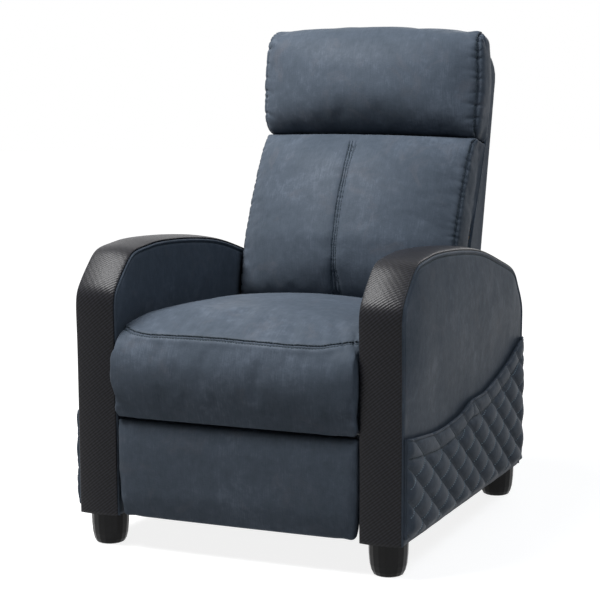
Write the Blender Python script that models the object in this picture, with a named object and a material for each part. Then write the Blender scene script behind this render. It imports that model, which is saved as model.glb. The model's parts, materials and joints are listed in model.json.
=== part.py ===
"""A push-back recliner: two padded arms on feet, a sliding seat, a reclining back and a footrest.

Metres, +Z up, the front of the chair faces -Y, and the floor is z = 0. Depths are first measured
from the front of the arms, and then moved so that the origin lies midway between the front of
the seat roll and the rear of the back.
"""

import math

import bmesh
import bpy
from mathutils import Vector

# The size of the whole chair
CHAIR_WIDTH = 0.660
ARM_WIDTH = 0.0815
ARM_BEHIND = 0.184
ARM_RISE = 0.515
FOOT_HEIGHT = 0.064

# Edges that turn more than this stay sharp
SHARP_ANGLE = math.radians(35)

# Gaps that keep neighbours apart
TOUCH = 0.0003
LINK_PLAY = 0.0005
PIN_PLAY = 0.0004
CUT = 0.010

# The seat
ROLL_OVERHANG = 0.030
SEAT_DEPTH = 0.590
SEAT_RISE = 0.144
SEAT_PLAY = 0.0019
ROLL_DROP = 0.068
SEAT_BASE = 0.3262

# The back, measured up its rear face and forwards from it
BACK_TILT = math.radians(13.5)
BACK_LAP_SHARE = 0.203
BACK_STAND_SHARE = 0.291
BACK_RISE = 0.700
BACK_THICK = 0.2455
BACK_PLAY = 0.0055
SHELL_START = 0.050
SHELL_RISE_SHARE = 0.854
SHELL_WALL = 0.006
SHELL_ROUND = 0.012
SHELL_CORNER_START = -67.5

# The arms' covers, frames and straps
STRAP_EDGE = 0.002
STRAP_CROWN = 0.0065
STRAP_SINK = 0.0035
STRAP_DOME_SHARE = 0.78
STRAP_INSET = 0.0005
COVER_EDGE = 0.003
PADDING = 0.012
FRAME_RIM = 0.045
FRAME_BOARD = 0.018

# The feet
FOOT_TOP_RADIUS = 0.037
FOOT_INSET_FRONT = 0.046
FOOT_INSET_REAR = 0.036
STUD_RADIUS = 0.004
STUD_LENGTH = 0.028

# The pockets
POCKET_GAP = 0.006
POCKET_CLOTH = 0.003
POCKET_PUFF = 0.0035
POCKET_EDGE = 0.008
POCKET_FRONT_INSET = 0.009
POCKET_REAR_INSET = 0.010
POCKET_BOTTOM_INSET = 0.011
POCKET_RISE = 0.275
HEM_WIDTH = 0.035
QUILT_LONG = 0.090
QUILT_HIGH = 0.062

# Boards, tubes and steel
BOARD = 0.022
BOARD_EDGE = 0.001
STEEL = 0.003
RAIL_RISE = 0.060
RAIL_ROOM = 0.0085
SEAT_FRAME_FRONT = 0.018
SPRING_WIRE = 0.0018
SPRING_SWING = 0.020
SPRING_COUNT = 4
SPRING_WAVES = 8
SPRING_REACH_SHARE = 0.80
REAR_PANEL_INSET = 0.034
REAR_PANEL_LOW = 0.070
REAR_PANEL_RISE = 0.262
CROSS_RAIL_DEPTH = 0.375
CROSS_RAIL_LOW = 0.090
CROSS_RAIL_RISE = 0.040
RUNNER_START = 0.205
RUNNER_LENGTH = 0.370
RUNNER_LEDGE = 0.028
RUNNER_WALL = 0.035
GLIDE_START = 0.225
GLIDE_LENGTH = 0.320
GLIDE_THICK = 0.0184
GLIDE_WIDTH = 0.0175
UPRIGHT_WIDTH = 0.022
BACK_RAIL_RISE = 0.060
WEB_WIDTH = 0.050
WEB_THICK = 0.0015
WEB_SHARES = (0.209, 0.467, 0.853)

# The recline pivot
RECLINE_BEHIND = 0.017
RECLINE_HEIGHT = 0.360
RECLINE_EYE = 0.0135
RECLINE_PIN = 0.005

# The footrest and its linkage
LEAD_DEPTH = 0.129
LEAD_HEIGHT = 0.246
LEAD_REACH = 0.182
LEAD_REST = math.radians(49.8)
CARRIER_SHARE = 0.974
CARRIER_REST = math.radians(19.8)
GUIDE_FOOT_SHARES = (0.246, -0.049)
GUIDE_HEAD_SHARES = (0.276, -0.028)
LINK_HALF = 0.0075
RIVET = 0.004
RIVET_HEAD = 0.007
RIVET_HEAD_THICK = 0.002
GUIDE_SLACK = 0.0032
TORQUE_RADIUS = 0.0105
TORQUE_BORE = 0.008
PAD_RISE = 0.1905
PAD_LOW = 0.065
PAD_PLAY = 0.0015
PAD_FRONT = -0.008
PAD_THICK = 0.0307
BOARD_THIN = 0.012
BOARD_MARGIN = 0.012
BRACKET_FLANGE = 0.026
BRACKET_RISE = 0.090

# Outlines, as shares chosen by hand: depth and height
ARM_SHARES = (
    (0.000, 0.000), (-0.004, 0.598), (-0.007, 0.808), (0.016, 0.870), (0.058, 0.932),
    (0.101, 0.979), (0.179, 0.994), (0.269, 1.000), (0.444, 0.986), (0.614, 0.955),
    (0.778, 0.895), (0.911, 0.835), (0.957, 0.769), (1.005, 0.672), (1.008, 0.563),
    (1.000, 0.000),
)
HEM_SHARES = (
    (0.00, 0.673), (0.09, 0.647), (0.24, 0.618), (0.41, 0.643), (0.50, 0.698),
    (0.63, 0.709), (0.82, 0.818), (0.95, 0.935), (1.00, 0.965),
)
SEAT_SIDE_SHARES = (
    (1.000, 0.340), (0.864, 0.610), (0.737, 0.695), (0.551, 0.750), (0.364, 0.785),
    (0.212, 0.795), (0.119, 0.755), (0.056, 0.640), (0.022, 0.500), (0.013, 0.340),
    (0.013, 0.060), (0.022, -0.215), (0.042, -0.465),
)
SEAT_CENTRE_SHARES = (
    (1.000, 0.340), (0.864, 0.720), (0.737, 0.895), (0.551, 0.985), (0.364, 1.000),
    (0.212, 0.970), (0.119, 0.895), (0.051, 0.760), (0.013, 0.595), (0.000, 0.340),
    (0.001, 0.060), (0.012, -0.215), (0.034, -0.470),
)
RIM_SHARES = ((0.3286, 0.326), (0.6529, 0.151), (0.9257, 0.216))
LUMBAR_SIDE_SHARES = (
    (0.097, 0.530), (0.111, 0.652), (0.150, 0.692), (0.214, 0.707), (0.314, 0.703),
    (0.429, 0.646), (0.529, 0.574), (0.600, 0.509), (0.636, 0.456), (0.6500, 0.375),
)
LUMBAR_CENTRE_SHARES = (
    (0.094, 0.530), (0.106, 0.766), (0.143, 0.910), (0.214, 0.978), (0.307, 1.000),
    (0.429, 0.927), (0.543, 0.833), (0.611, 0.733), (0.641, 0.611), (0.6503, 0.456),
)
HEAD_SIDE_SHARES = (
    (0.6513, 0.305), (0.656, 0.424), (0.679, 0.466), (0.714, 0.483), (0.779, 0.503),
    (0.857, 0.538), (0.921, 0.564), (0.960, 0.554), (0.977, 0.456), (0.971, 0.318),
    (0.949, 0.232),
)
HEAD_CENTRE_SHARES = (
    (0.6513, 0.305), (0.657, 0.481), (0.671, 0.603), (0.710, 0.684), (0.779, 0.725),
    (0.857, 0.725), (0.926, 0.664), (0.977, 0.558), (1.000, 0.407), (0.991, 0.285),
    (0.960, 0.230),
)
LUMBAR_ENDS_SHARES = (0.1000, 0.6503)
HEAD_ENDS_SHARES = (0.6516, 0.9264)
PAD_SIDE_SHARES = ((1.000, 0.25), (0.985, 0.62), (0.90, 0.80), (0.50, 0.84), (0.12, 0.80),
                   (0.015, 0.58), (0.000, 0.25))
PAD_CENTRE_SHARES = ((1.000, 0.35), (0.985, 0.76), (0.90, 0.95), (0.50, 1.00), (0.12, 0.95),
                     (0.015, 0.72), (0.000, 0.35))
BRACKET_SHARES = ((0.035, 0.26), (0.090, 0.13), (0.320, 0.13), (0.320, 0.25), (0.118, 0.27),
                  (0.092, 0.33))
SHELL_ROUND_SHARES = ((0.0, 1.0), (0.35, 0.29), (1.0, 0.0))
PAD_LIFT_SHARES = ((-1.0, 0.45), (-0.985, 0.16), (-0.965, 0.05), (-0.94, 0.01), (-0.80, 0.0),
                   (-0.5, 0.0), (0.0, 0.0))
FOOT_SHARES = ((1.00, 1.00), (0.98, 0.62), (0.93, 0.32), (0.85, 0.14), (0.75, 0.03), (0.65, 0.0))

# One wave of a seat spring, as shares of its length and of its swing
SPRING_WAVE_SHARES = ((0.12, 0.0), (0.22, 1.0), (0.50, 1.0), (0.62, 0.0), (0.72, -1.0), (0.98, -1.0))

# Where a cushion is sampled across its half width, and how its crown fades to the side
STATION_SHARES = (1.0, 0.96, 0.87, 0.72, 0.52, 0.28, 0.05, 0.0)
CHANNEL_DIP_SHARE = 0.10
SIDE_DRAW = 0.004
HEAD_SWELL = 0.006
SEAT_CROWN_POWER = 2.2
BACK_CROWN_POWER = 2.6
SIDE_DRAW_SHARE = 0.72

# Places worked out from the sizes above
ARM_INNER = CHAIR_WIDTH / 2 - ARM_WIDTH
ARM_OUTER = CHAIR_WIDTH / 2
ARM_LOW = FOOT_HEIGHT + TOUCH
RAIL_OUTER = ARM_INNER - RAIL_ROOM
RAIL_INNER = RAIL_OUTER - BOARD
PLATE_OUTER = RAIL_INNER - TOUCH
PLATE_INNER = PLATE_OUTER - STEEL
PLANE_1 = PLATE_INNER - LINK_PLAY
PLANE_2 = PLANE_1 - STEEL - LINK_PLAY
PLANE_3 = PLANE_2 - STEEL - LINK_PLAY
RAIL_TOP = SEAT_BASE - TOUCH - 2 * SPRING_WIRE - TOUCH
RAIL_LOW = RAIL_TOP - RAIL_RISE
SEAT_FRAME_REAR = SEAT_DEPTH - ROLL_OVERHANG
RECLINE = Vector((SEAT_FRAME_REAR + RECLINE_BEHIND, RECLINE_HEIGHT))
ARM_DEPTH = SEAT_FRAME_REAR + ARM_BEHIND
BACK_FRONT = SEAT_FRAME_REAR - BACK_LAP_SHARE * SEAT_DEPTH
BACK_HEEL_DEPTH = BACK_FRONT + BACK_THICK * math.cos(BACK_TILT)
BACK_LOW = LUMBAR_ENDS_SHARES[0] * BACK_RISE * math.cos(BACK_TILT)
BACK_HEEL_HEIGHT = SEAT_BASE + BACK_STAND_SHARE * SEAT_RISE - BACK_LOW
SHELL_RISE = SHELL_RISE_SHARE * BACK_RISE
BACK_HALF = ARM_INNER - BACK_PLAY
LEDGE_TOP = RAIL_LOW - TOUCH - GLIDE_THICK - TOUCH


def back_point(rise, forward):
    """The depth and height of a place on the tilted back."""
    depth = BACK_HEEL_DEPTH + rise * math.sin(BACK_TILT) - forward * math.cos(BACK_TILT)
    height = BACK_HEEL_HEIGHT + rise * math.cos(BACK_TILT) + forward * math.sin(BACK_TILT)
    return depth, height


def arc(centre, radius, start, end, steps=5):
    """Points on an arc, angles in degrees from the depth axis towards up."""
    angles = [math.radians(start + (end - start) * i / steps) for i in range(steps + 1)]
    return [(centre[0] + radius * math.cos(a), centre[1] + radius * math.sin(a)) for a in angles]


def scaled(shares, first, second):
    return [(a * first, b * second) for a, b in shares]


def rim(rise):
    """How far forward the shell's rim stands at a height on the back."""
    knots = scaled(RIM_SHARES, BACK_RISE, BACK_THICK)
    if rise <= knots[0][0]:
        return knots[0][1]
    for (low, near), (high, far) in zip(knots, knots[1:]):
        if rise <= high:
            return near + (far - near) * (rise - low) / (high - low)
    return knots[-1][1]


def shell_outline(inset):
    """The shell's side view on the back's own axes; the rear and the top draw in by inset."""
    top = SHELL_START + SHELL_RISE - inset
    corner = rim(top) - inset
    points = [(SHELL_START, inset), (top - corner, inset)]
    points += arc((top - corner, inset + corner), corner, SHELL_CORNER_START, 0, 3)
    points += [(rise, rim(rise)) for rise in (RIM_SHARES[1][0] * BACK_RISE,
                                              RIM_SHARES[0][0] * BACK_RISE, SHELL_START)]
    return points


REARMOST = max(back_point(rise, forward)[0] for rise, forward in shell_outline(0.0))
DATUM = -(REARMOST - ROLL_OVERHANG) / 2


def at(x, depth, height):
    return Vector((x, depth + DATUM, height))


def pivot_points():
    """The linkage's pivots in side view, as depth and height."""
    lead = Vector((LEAD_DEPTH, LEAD_HEIGHT))
    elbow = lead + LEAD_REACH * Vector((math.sin(LEAD_REST), -math.cos(LEAD_REST)))
    reach = LEAD_REACH * CARRIER_SHARE
    panel = elbow + reach * Vector((-math.cos(CARRIER_REST), math.sin(CARRIER_REST)))
    foot = lead + LEAD_REACH * Vector(GUIDE_FOOT_SHARES)
    head = elbow + LEAD_REACH * Vector(GUIDE_HEAD_SHARES)
    return {"lead": lead, "elbow": elbow, "panel": panel, "guide_foot": foot, "guide_head": head}


PIVOT = pivot_points()


# Building tools
def clear_scene():
    for old in list(bpy.data.objects):
        bpy.data.objects.remove(old, do_unlink=True)


def material(name, colour, roughness, metallic=0.0):
    made = bpy.data.materials.new(name)
    made.use_nodes = True
    shader = made.node_tree.nodes["Principled BSDF"]
    shader.inputs["Base Color"].default_value = (*colour, 1.0)
    shader.inputs["Roughness"].default_value = roughness
    shader.inputs["Metallic"].default_value = metallic
    return made


def empty(name, place, parent=None):
    made = bpy.data.objects.new(name, None)
    made.location = place - parent["place"] if parent else place
    made.parent = parent["object"] if parent else None
    bpy.context.scene.collection.objects.link(made)
    return {"object": made, "place": place}


def finish(bm, name, paint, home=None, smooth=True):
    """Turns the bmesh into an object whose own origin is its body's joint."""
    bmesh.ops.remove_doubles(bm, verts=bm.verts, dist=TOUCH / 10)
    bmesh.ops.recalc_face_normals(bm, faces=bm.faces)
    if home:
        bmesh.ops.translate(bm, verts=bm.verts, vec=-home["place"])
    mesh = bpy.data.meshes.new(name)
    bm.to_mesh(mesh)
    bm.free()
    if smooth:
        mesh.shade_smooth()
        mesh.set_sharp_from_angle(angle=SHARP_ANGLE)
    mesh.materials.append(MATERIALS[paint])
    made = bpy.data.objects.new(name, mesh)
    if home:
        made.parent = home["object"]
    bpy.context.scene.collection.objects.link(made)
    return made


def loop_of(bm, points):
    """A closed loop of edges through the points."""
    verts = [bm.verts.new(point) for point in points]
    return [bm.edges.new((a, b)) for a, b in zip(verts, verts[1:] + verts[:1])]


def loft(bm, rings):
    """Skins closed rings in turn and closes both ends."""
    loops = [loop_of(bm, ring) for ring in rings]
    for near, far in zip(loops, loops[1:]):
        bmesh.ops.bridge_loops(bm, edges=near + far)
    for loop in (loops[0], loops[-1]):
        bmesh.ops.contextual_create(bm, geom=loop)


def slab(bm, outline, near, far, holes=()):
    """A flat outline of depths and heights, with round holes, made solid from near to far in x."""
    edges = loop_of(bm, [at(near, *point) for point in outline])
    for centre, radius in holes:
        edges += loop_of(bm, [at(near, *point) for point in circle(centre, radius)])
    made = bmesh.ops.triangle_fill(bm, edges=edges, use_beauty=True, normal=(1, 0, 0))
    faces = [item for item in made["geom"] if isinstance(item, bmesh.types.BMFace)]
    grown = bmesh.ops.extrude_face_region(bm, geom=faces, use_keep_orig=True)
    verts = [item for item in grown["geom"] if isinstance(item, bmesh.types.BMVert)]
    bmesh.ops.translate(bm, verts=verts, vec=Vector((far - near, 0, 0)))


def block(bm, low, high, bevel=0.0):
    """A box between two corners, its edges broken by bevel."""
    made = bmesh.ops.create_cube(bm, size=1.0)["verts"]
    size = high - low
    bmesh.ops.scale(bm, vec=size, verts=made)
    bmesh.ops.translate(bm, vec=(low + high) / 2, verts=made)
    if bevel:
        edges = {edge for vert in made for edge in vert.link_edges}
        bmesh.ops.bevel(bm, geom=list(edges), offset=bevel, segments=1, profile=0.5,
                        affect="EDGES", material=-1)


def rod(bm, profile, centre, axis="X", sides=14):
    """Turns a profile of (along, radius) points round an axis through centre."""
    way, out = Vector((1, 0, 0)), Vector((0, 1, 0))
    if axis == "Z":
        way, out = Vector((0, 0, 1)), Vector((1, 0, 0))
    edges = loop_of(bm, [centre + along * way + radius * out for along, radius in profile])
    verts = [vert for edge in edges for vert in edge.verts]
    bmesh.ops.spin(bm, geom=list(dict.fromkeys(verts)) + edges, cent=centre, axis=way,
                   angle=2 * math.pi, steps=sides, use_merge=True)


def circle(centre, radius, sides=14):
    turn = 2 * math.pi / sides
    return [(centre[0] + radius * math.cos(turn * i), centre[1] + radius * math.sin(turn * i))
            for i in range(sides)]


def stadium(start, end, start_radius, end_radius):
    """A link's outline: two round ends of their own radii, joined by straight sides."""
    heading = math.degrees(math.atan2(end[1] - start[1], end[0] - start[0]))
    return (arc(start, start_radius, heading + 90, heading + 270)
            + arc(end, end_radius, heading - 90, heading + 90))


def smooth_line(points, steps=2):
    """A Catmull-Rom curve through the points."""
    line = []
    last = len(points) - 1
    for i in range(last):
        p0, p1, p2, p3 = (Vector(points[max(0, min(last, i + k))]) for k in (-1, 0, 1, 2))
        for step in range(steps):
            t = step / steps
            line.append(((2 * p1) + (p2 - p0) * t + (2 * p0 - 5 * p1 + 4 * p2 - p3) * t * t
                         + (3 * p1 - p0 - 3 * p2 + p3) * t ** 3) / 2)
    line.append(Vector(points[-1]))
    return line


def offset_line(line, distance):
    """The line moved sideways, to the left of its direction when distance is positive."""
    moved = []
    for i, point in enumerate(line):
        before = line[max(i - 1, 0)]
        after = line[min(i + 1, len(line) - 1)]
        way = (after - before).normalized()
        moved.append(point + distance * Vector((-way.y, way.x)))
    return moved


def combine(target, bm, name, operation):
    """Changes the target with a Boolean by the closed bmesh."""
    tool = finish(bm, name, "frame_board", smooth=False)
    tool.hide_render = True
    tool.display_type = "WIRE"
    change = target.modifiers.new(name, "BOOLEAN")
    change.operation = operation
    change.solver = "EXACT"
    change.object = tool


# The arms
def arm_line():
    """The arm's front, top and rear in side view, from the front foot round to the rear one."""
    line = offset_line(smooth_line(scaled(ARM_SHARES, ARM_DEPTH, ARM_RISE)), -STRAP_SINK)
    line[0].y = line[-1].y = 0
    return [Vector((point.x, point.y + ARM_LOW)) for point in line]


def arm_inside(distance):
    """The arm's outline drawn in by distance at its front, top and rear."""
    across = 1 - 2 * distance / ARM_DEPTH
    up = 1 - distance / ARM_RISE
    return [Vector((distance + point.x * across, ARM_LOW + (point.y - ARM_LOW) * up))
            for point in arm_line()]


def arm_cover(side, name):
    line = arm_line()
    near, far = side * ARM_INNER, side * ARM_OUTER
    step = side * COVER_EDGE
    inner = offset_line(line, -COVER_EDGE)
    inner[0].y = inner[-1].y = ARM_LOW
    bm = bmesh.new()
    loft(bm, [[at(near, *point) for point in inner], [at(near + step, *point) for point in line],
              [at(far - step, *point) for point in line], [at(far, *point) for point in inner]])
    cover = finish(bm, name, "faux_leather")
    bm = bmesh.new()
    hollow = arm_inside(PADDING)
    hollow[0].y = hollow[-1].y = ARM_LOW - CUT
    slab(bm, hollow, near + side * PADDING, far - side * PADDING)
    combine(cover, bm, name + "_hollow", "DIFFERENCE")


def arm_frame(side, name):
    line = arm_inside(PADDING + TOUCH)
    near = side * (ARM_INNER + PADDING + TOUCH)
    far = side * (ARM_OUTER - PADDING - TOUCH)
    bm = bmesh.new()
    slab(bm, line, near, far)
    frame = finish(bm, name, "frame_board", smooth=False)
    recess = arm_inside(PADDING + FRAME_RIM)
    recess[0].y = recess[-1].y = ARM_LOW + FRAME_RIM
    bm = bmesh.new()
    slab(bm, recess, near + side * FRAME_BOARD, far + side * CUT)
    combine(frame, bm, name + "_recess", "DIFFERENCE")
    for end, depth in foot_depths().items():
        bm = bmesh.new()
        centre = at(side * (ARM_INNER + ARM_OUTER) / 2, depth, ARM_LOW)
        bore = STUD_RADIUS + PIN_PLAY
        rod(bm, ((-CUT, 0), (-CUT, bore), (STUD_LENGTH, bore), (STUD_LENGTH, 0)), centre, "Z")
        combine(frame, bm, name + "_stud_hole_" + end, "DIFFERENCE")


def arm_strap(side, name):
    """The dark strap: flat against the cover, thin at its edges and domed between them."""
    line = arm_line()
    inner, outer = ARM_INNER + STRAP_INSET, ARM_OUTER - STRAP_INSET
    middle = (inner + outer) / 2
    quarter = (outer - inner) / 4
    section = ((inner, TOUCH), (inner, STRAP_EDGE), (middle - quarter, STRAP_CROWN * STRAP_DOME_SHARE),
               (middle, STRAP_CROWN), (middle + quarter, STRAP_CROWN * STRAP_DOME_SHARE),
               (outer, STRAP_EDGE), (outer, TOUCH))
    lanes = {lift: offset_line(line, lift) for _, lift in section}
    for lane in lanes.values():
        lane[0].y = lane[-1].y = ARM_LOW
    bm = bmesh.new()
    loft(bm, [[at(side * x, *lanes[lift][i]) for x, lift in section] for i in range(len(line))])
    finish(bm, name, "strap_twill")


def foot_depths():
    return {"front": FOOT_INSET_FRONT, "rear": ARM_DEPTH - FOOT_INSET_REAR}


def feet():
    reach = FOOT_TOP_RADIUS
    profile = [(0, 0)]
    profile += [(height * FOOT_HEIGHT, radius * reach) for radius, height in reversed(FOOT_SHARES)]
    stud = ARM_LOW + STUD_LENGTH - PIN_PLAY
    profile += [(FOOT_HEIGHT, STUD_RADIUS), (stud, STUD_RADIUS), (stud, 0)]
    for side, word in ((1, "left"), (-1, "right")):
        for end, depth in foot_depths().items():
            bm = bmesh.new()
            rod(bm, profile, at(side * (ARM_INNER + ARM_OUTER) / 2, depth, 0), "Z", 18)
            finish(bm, f"foot_{end}_{word}", "foot_plastic")


# The pockets
def hem_line(drop):
    """The pocket's upper edge from front to rear, lowered by drop."""
    length = ARM_DEPTH - POCKET_FRONT_INSET - POCKET_REAR_INSET
    low = ARM_LOW + POCKET_BOTTOM_INSET
    return [Vector((POCKET_FRONT_INSET + along * length, low + height * POCKET_RISE - drop))
            for along, height in smooth_line(HEM_SHARES)]


def quilt(bm, side, near):
    """A block whose outer face is a lattice of low four-sided pyramids."""
    step, rise = QUILT_LONG / 2, QUILT_HIGH / 2
    columns = math.ceil(ARM_DEPTH / step) + 1
    rows = math.ceil(POCKET_RISE / rise) + 1
    flat, full = near + side * POCKET_CLOTH, near + side * (POCKET_CLOTH + POCKET_PUFF)
    grid = [[bm.verts.new(at(full if (i + j) % 2 else flat, i * step, ARM_LOW + j * rise))
             for j in range(rows)] for i in range(columns)]
    for i in range(columns - 1):
        for j in range(rows - 1):
            a, b = grid[i][j], grid[i + 1][j]
            c, d = grid[i + 1][j + 1], grid[i][j + 1]
            corners = ((a, b, c), (a, c, d)) if (i + j) % 2 == 0 else ((a, b, d), (b, c, d))
            for corner in corners:
                bm.faces.new(corner)
    rim_edges = [edge for edge in bm.edges if edge.is_boundary]
    grown = bmesh.ops.extrude_edge_only(bm, edges=rim_edges)["geom"]
    edges = [item for item in grown if isinstance(item, bmesh.types.BMEdge)]
    for vert in [item for item in grown if isinstance(item, bmesh.types.BMVert)]:
        vert.co.x = near
    bmesh.ops.contextual_create(bm, geom=[edge for edge in edges if edge.is_boundary])


def pocket_outline(top):
    low = ARM_LOW + POCKET_BOTTOM_INSET
    return [(top[0].x, low)] + [tuple(point) for point in top] + [(top[-1].x, low)]


def pocket_panel(side, name):
    """The quilted panel with its plain hem band along the top."""
    near = side * (ARM_OUTER + POCKET_GAP)
    bm = bmesh.new()
    quilt(bm, side, near)
    panel = finish(bm, name, "faux_leather", smooth=False)
    far = near + side * (POCKET_CLOTH + POCKET_PUFF + CUT)
    bm = bmesh.new()
    slab(bm, pocket_outline(hem_line(HEM_WIDTH / 2)), near - side * CUT, far)
    combine(panel, bm, name + "_outline", "INTERSECT")
    bm = bmesh.new()
    band = [tuple(p) for p in hem_line(0.0)] + [tuple(p) for p in reversed(hem_line(HEM_WIDTH))]
    slab(bm, band, near, near + side * (POCKET_CLOTH + POCKET_PUFF))
    combine(panel, bm, name + "_hem", "UNION")


def pocket_gusset(side, name):
    """The strip along the pocket's front, bottom and rear that stands it off the arm."""
    top = hem_line(0.0)
    low = ARM_LOW + POCKET_BOTTOM_INSET
    front, rear = top[0], top[-1]
    outline = [(front.x, front.y), (front.x, low), (rear.x, low), (rear.x, rear.y),
               (rear.x - POCKET_EDGE, rear.y), (rear.x - POCKET_EDGE, low + POCKET_EDGE),
               (front.x + POCKET_EDGE, low + POCKET_EDGE), (front.x + POCKET_EDGE, front.y)]
    bm = bmesh.new()
    slab(bm, outline, side * (ARM_OUTER + TOUCH), side * (ARM_OUTER + POCKET_GAP - TOUCH))
    finish(bm, name, "faux_leather", smooth=False)


# The base between the arms
def base_rails():
    half = ARM_INNER - TOUCH
    rails = {"rear_panel": (ARM_DEPTH - REAR_PANEL_INSET, REAR_PANEL_LOW, REAR_PANEL_RISE),
             "base_cross_rail": (CROSS_RAIL_DEPTH, CROSS_RAIL_LOW, CROSS_RAIL_RISE)}
    for name, (depth, low, rise) in rails.items():
        bm = bmesh.new()
        block(bm, at(-half, depth, low), at(half, depth + BOARD, low + rise), BOARD_EDGE)
        finish(bm, name, "frame_board", smooth=False)
    for side, word in ((1, "left"), (-1, "right")):
        outer, low = ARM_INNER - TOUCH, LEDGE_TOP - STEEL
        inner = outer - RUNNER_LEDGE
        section = ((inner, low), (outer, low), (outer, low + RUNNER_WALL),
                   (outer - STEEL, low + RUNNER_WALL), (outer - STEEL, LEDGE_TOP),
                   (inner, LEDGE_TOP))
        ends = (RUNNER_START, RUNNER_START + RUNNER_LENGTH)
        bm = bmesh.new()
        loft(bm, [[at(side * x, depth, height) for x, height in section] for depth in ends])
        finish(bm, "base_runner_" + word, "steel", smooth=False)


# The seat carriage
def seat_frame(home):
    rear = SEAT_FRAME_REAR
    front = SEAT_FRAME_FRONT
    pieces = {
        "seat_front_rail": ((-RAIL_OUTER, front), (RAIL_OUTER, front + BOARD)),
        "seat_rear_rail": ((-PLATE_INNER + TOUCH, rear - BOARD), (PLATE_INNER - TOUCH, rear)),
        "seat_side_left": ((RAIL_INNER, front + BOARD + TOUCH), (RAIL_OUTER, rear)),
        "seat_side_right": ((-RAIL_OUTER, front + BOARD + TOUCH), (-RAIL_INNER, rear)),
    }
    for name, (low, high) in pieces.items():
        bm = bmesh.new()
        block(bm, at(*low, RAIL_LOW), at(*high, RAIL_TOP), BOARD_EDGE)
        finish(bm, name, "frame_board", home, smooth=False)
    for side, word in ((1, "left"), (-1, "right")):
        xs = sorted((side * RAIL_OUTER, side * (RAIL_OUTER - GLIDE_WIDTH)))
        bm = bmesh.new()
        block(bm, at(xs[0], GLIDE_START, LEDGE_TOP + TOUCH),
              at(xs[1], GLIDE_START + GLIDE_LENGTH, RAIL_LOW - TOUCH), BOARD_EDGE)
        finish(bm, "seat_glide_" + word, "glide_plastic", home, smooth=False)


def seat_springs(home):
    """Zigzag wires from the front rail to the rear one, lying on both."""
    start = SEAT_FRAME_FRONT + BOARD / 2
    end = SEAT_FRAME_REAR - BOARD / 2
    wave = (end - start) / SPRING_WAVES
    for number in range(SPRING_COUNT):
        centre = SPRING_REACH_SHARE * RAIL_INNER * (2 * number / (SPRING_COUNT - 1) - 1)
        route = [(centre, start)]
        for turn in range(SPRING_WAVES):
            route += [(centre + SPRING_SWING * swing, start + wave * (turn + along))
                      for along, swing in SPRING_WAVE_SHARES]
        route.append((centre, end))
        curve = bpy.data.curves.new(f"seat_spring_{number + 1}", "CURVE")
        curve.dimensions = "3D"
        curve.bevel_depth = SPRING_WIRE
        curve.bevel_resolution = 0
        curve.use_fill_caps = True
        spline = curve.splines.new("POLY")
        spline.points.add(len(route) - 1)
        height = RAIL_TOP + TOUCH + SPRING_WIRE
        for point, (x, depth) in zip(spline.points, route):
            point.co = (*(at(x, depth, height) - home["place"]), 1.0)
        curve.materials.append(MATERIALS["steel"])
        made = bpy.data.objects.new(curve.name, curve)
        made.parent = home["object"]
        bpy.context.scene.collection.objects.link(made)


def mechanism_plates(home):
    """The steel side plates: front end for the linkage, rear end for the recline pivot."""
    lead, foot = PIVOT["lead"], PIVOT["guide_foot"]
    ear = RIVET_HEAD + STEEL
    top = RAIL_TOP - STEEL
    step = SEAT_FRAME_REAR + TOUCH
    outline = ([(lead.x - ear, top)] + arc(lead, ear, 180, 270, 3) + arc(foot, ear, 270, 360, 3)
               + [(foot.x + 3 * ear, RAIL_LOW + STEEL), (RECLINE.x + RECLINE_EYE, RAIL_LOW + STEEL)]
               + arc(RECLINE, RECLINE_EYE, 0, 180, 6) + [(RECLINE.x - RECLINE_EYE, top)])
    outline[-1] = (max(step, RECLINE.x - RECLINE_EYE), top)
    for side, word in ((1, "left"), (-1, "right")):
        bm = bmesh.new()
        slab(bm, outline, side * PLATE_INNER, side * PLATE_OUTER,
             [(RECLINE, RECLINE_PIN + PIN_PLAY)])
        plate = finish(bm, "mechanism_plate_" + word, "steel", home)
        for number, pivot in enumerate((lead, foot)):
            shank_end = PLANE_1 - STEEL - TOUCH
            head_end = shank_end - RIVET_HEAD_THICK
            head = TORQUE_BORE - 2 * PIN_PLAY if number == 0 else RIVET_HEAD
            profile = ((PLATE_OUTER + RIVET_HEAD_THICK, 0),
                       (PLATE_OUTER + RIVET_HEAD_THICK, RIVET_HEAD - STEEL / 2),
                       (PLATE_OUTER - STEEL / 2, RIVET_HEAD), (PLATE_OUTER - STEEL / 2, RIVET),
                       (shank_end, RIVET), (shank_end, head), (head_end, head), (head_end, 0))
            bm = bmesh.new()
            rod(bm, [(side * along, radius) for along, radius in profile], at(0, *pivot))
            combine(plate, bm, f"{plate.name}_rivet_{number + 1}", "UNION")


# Cushions
def crown(share, power):
    """How much of the full crown a cushion has at a share of its half width."""
    return 1 - abs(share) ** power


def blend(side_line, centre_line, amount):
    return [(a[0] + (b[0] - a[0]) * amount, a[1] + (b[1] - a[1]) * amount)
            for a, b in zip(side_line, centre_line)]


def drawn_in(line, share):
    """The outline shrunk towards its own middle, for the dished side of a cushion."""
    middle = (sum(p[0] for p in line) / len(line), sum(p[1] for p in line) / len(line))
    return [(middle[0] + (p[0] - middle[0]) * share, middle[1] + (p[1] - middle[1]) * share)
            for p in line]


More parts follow.
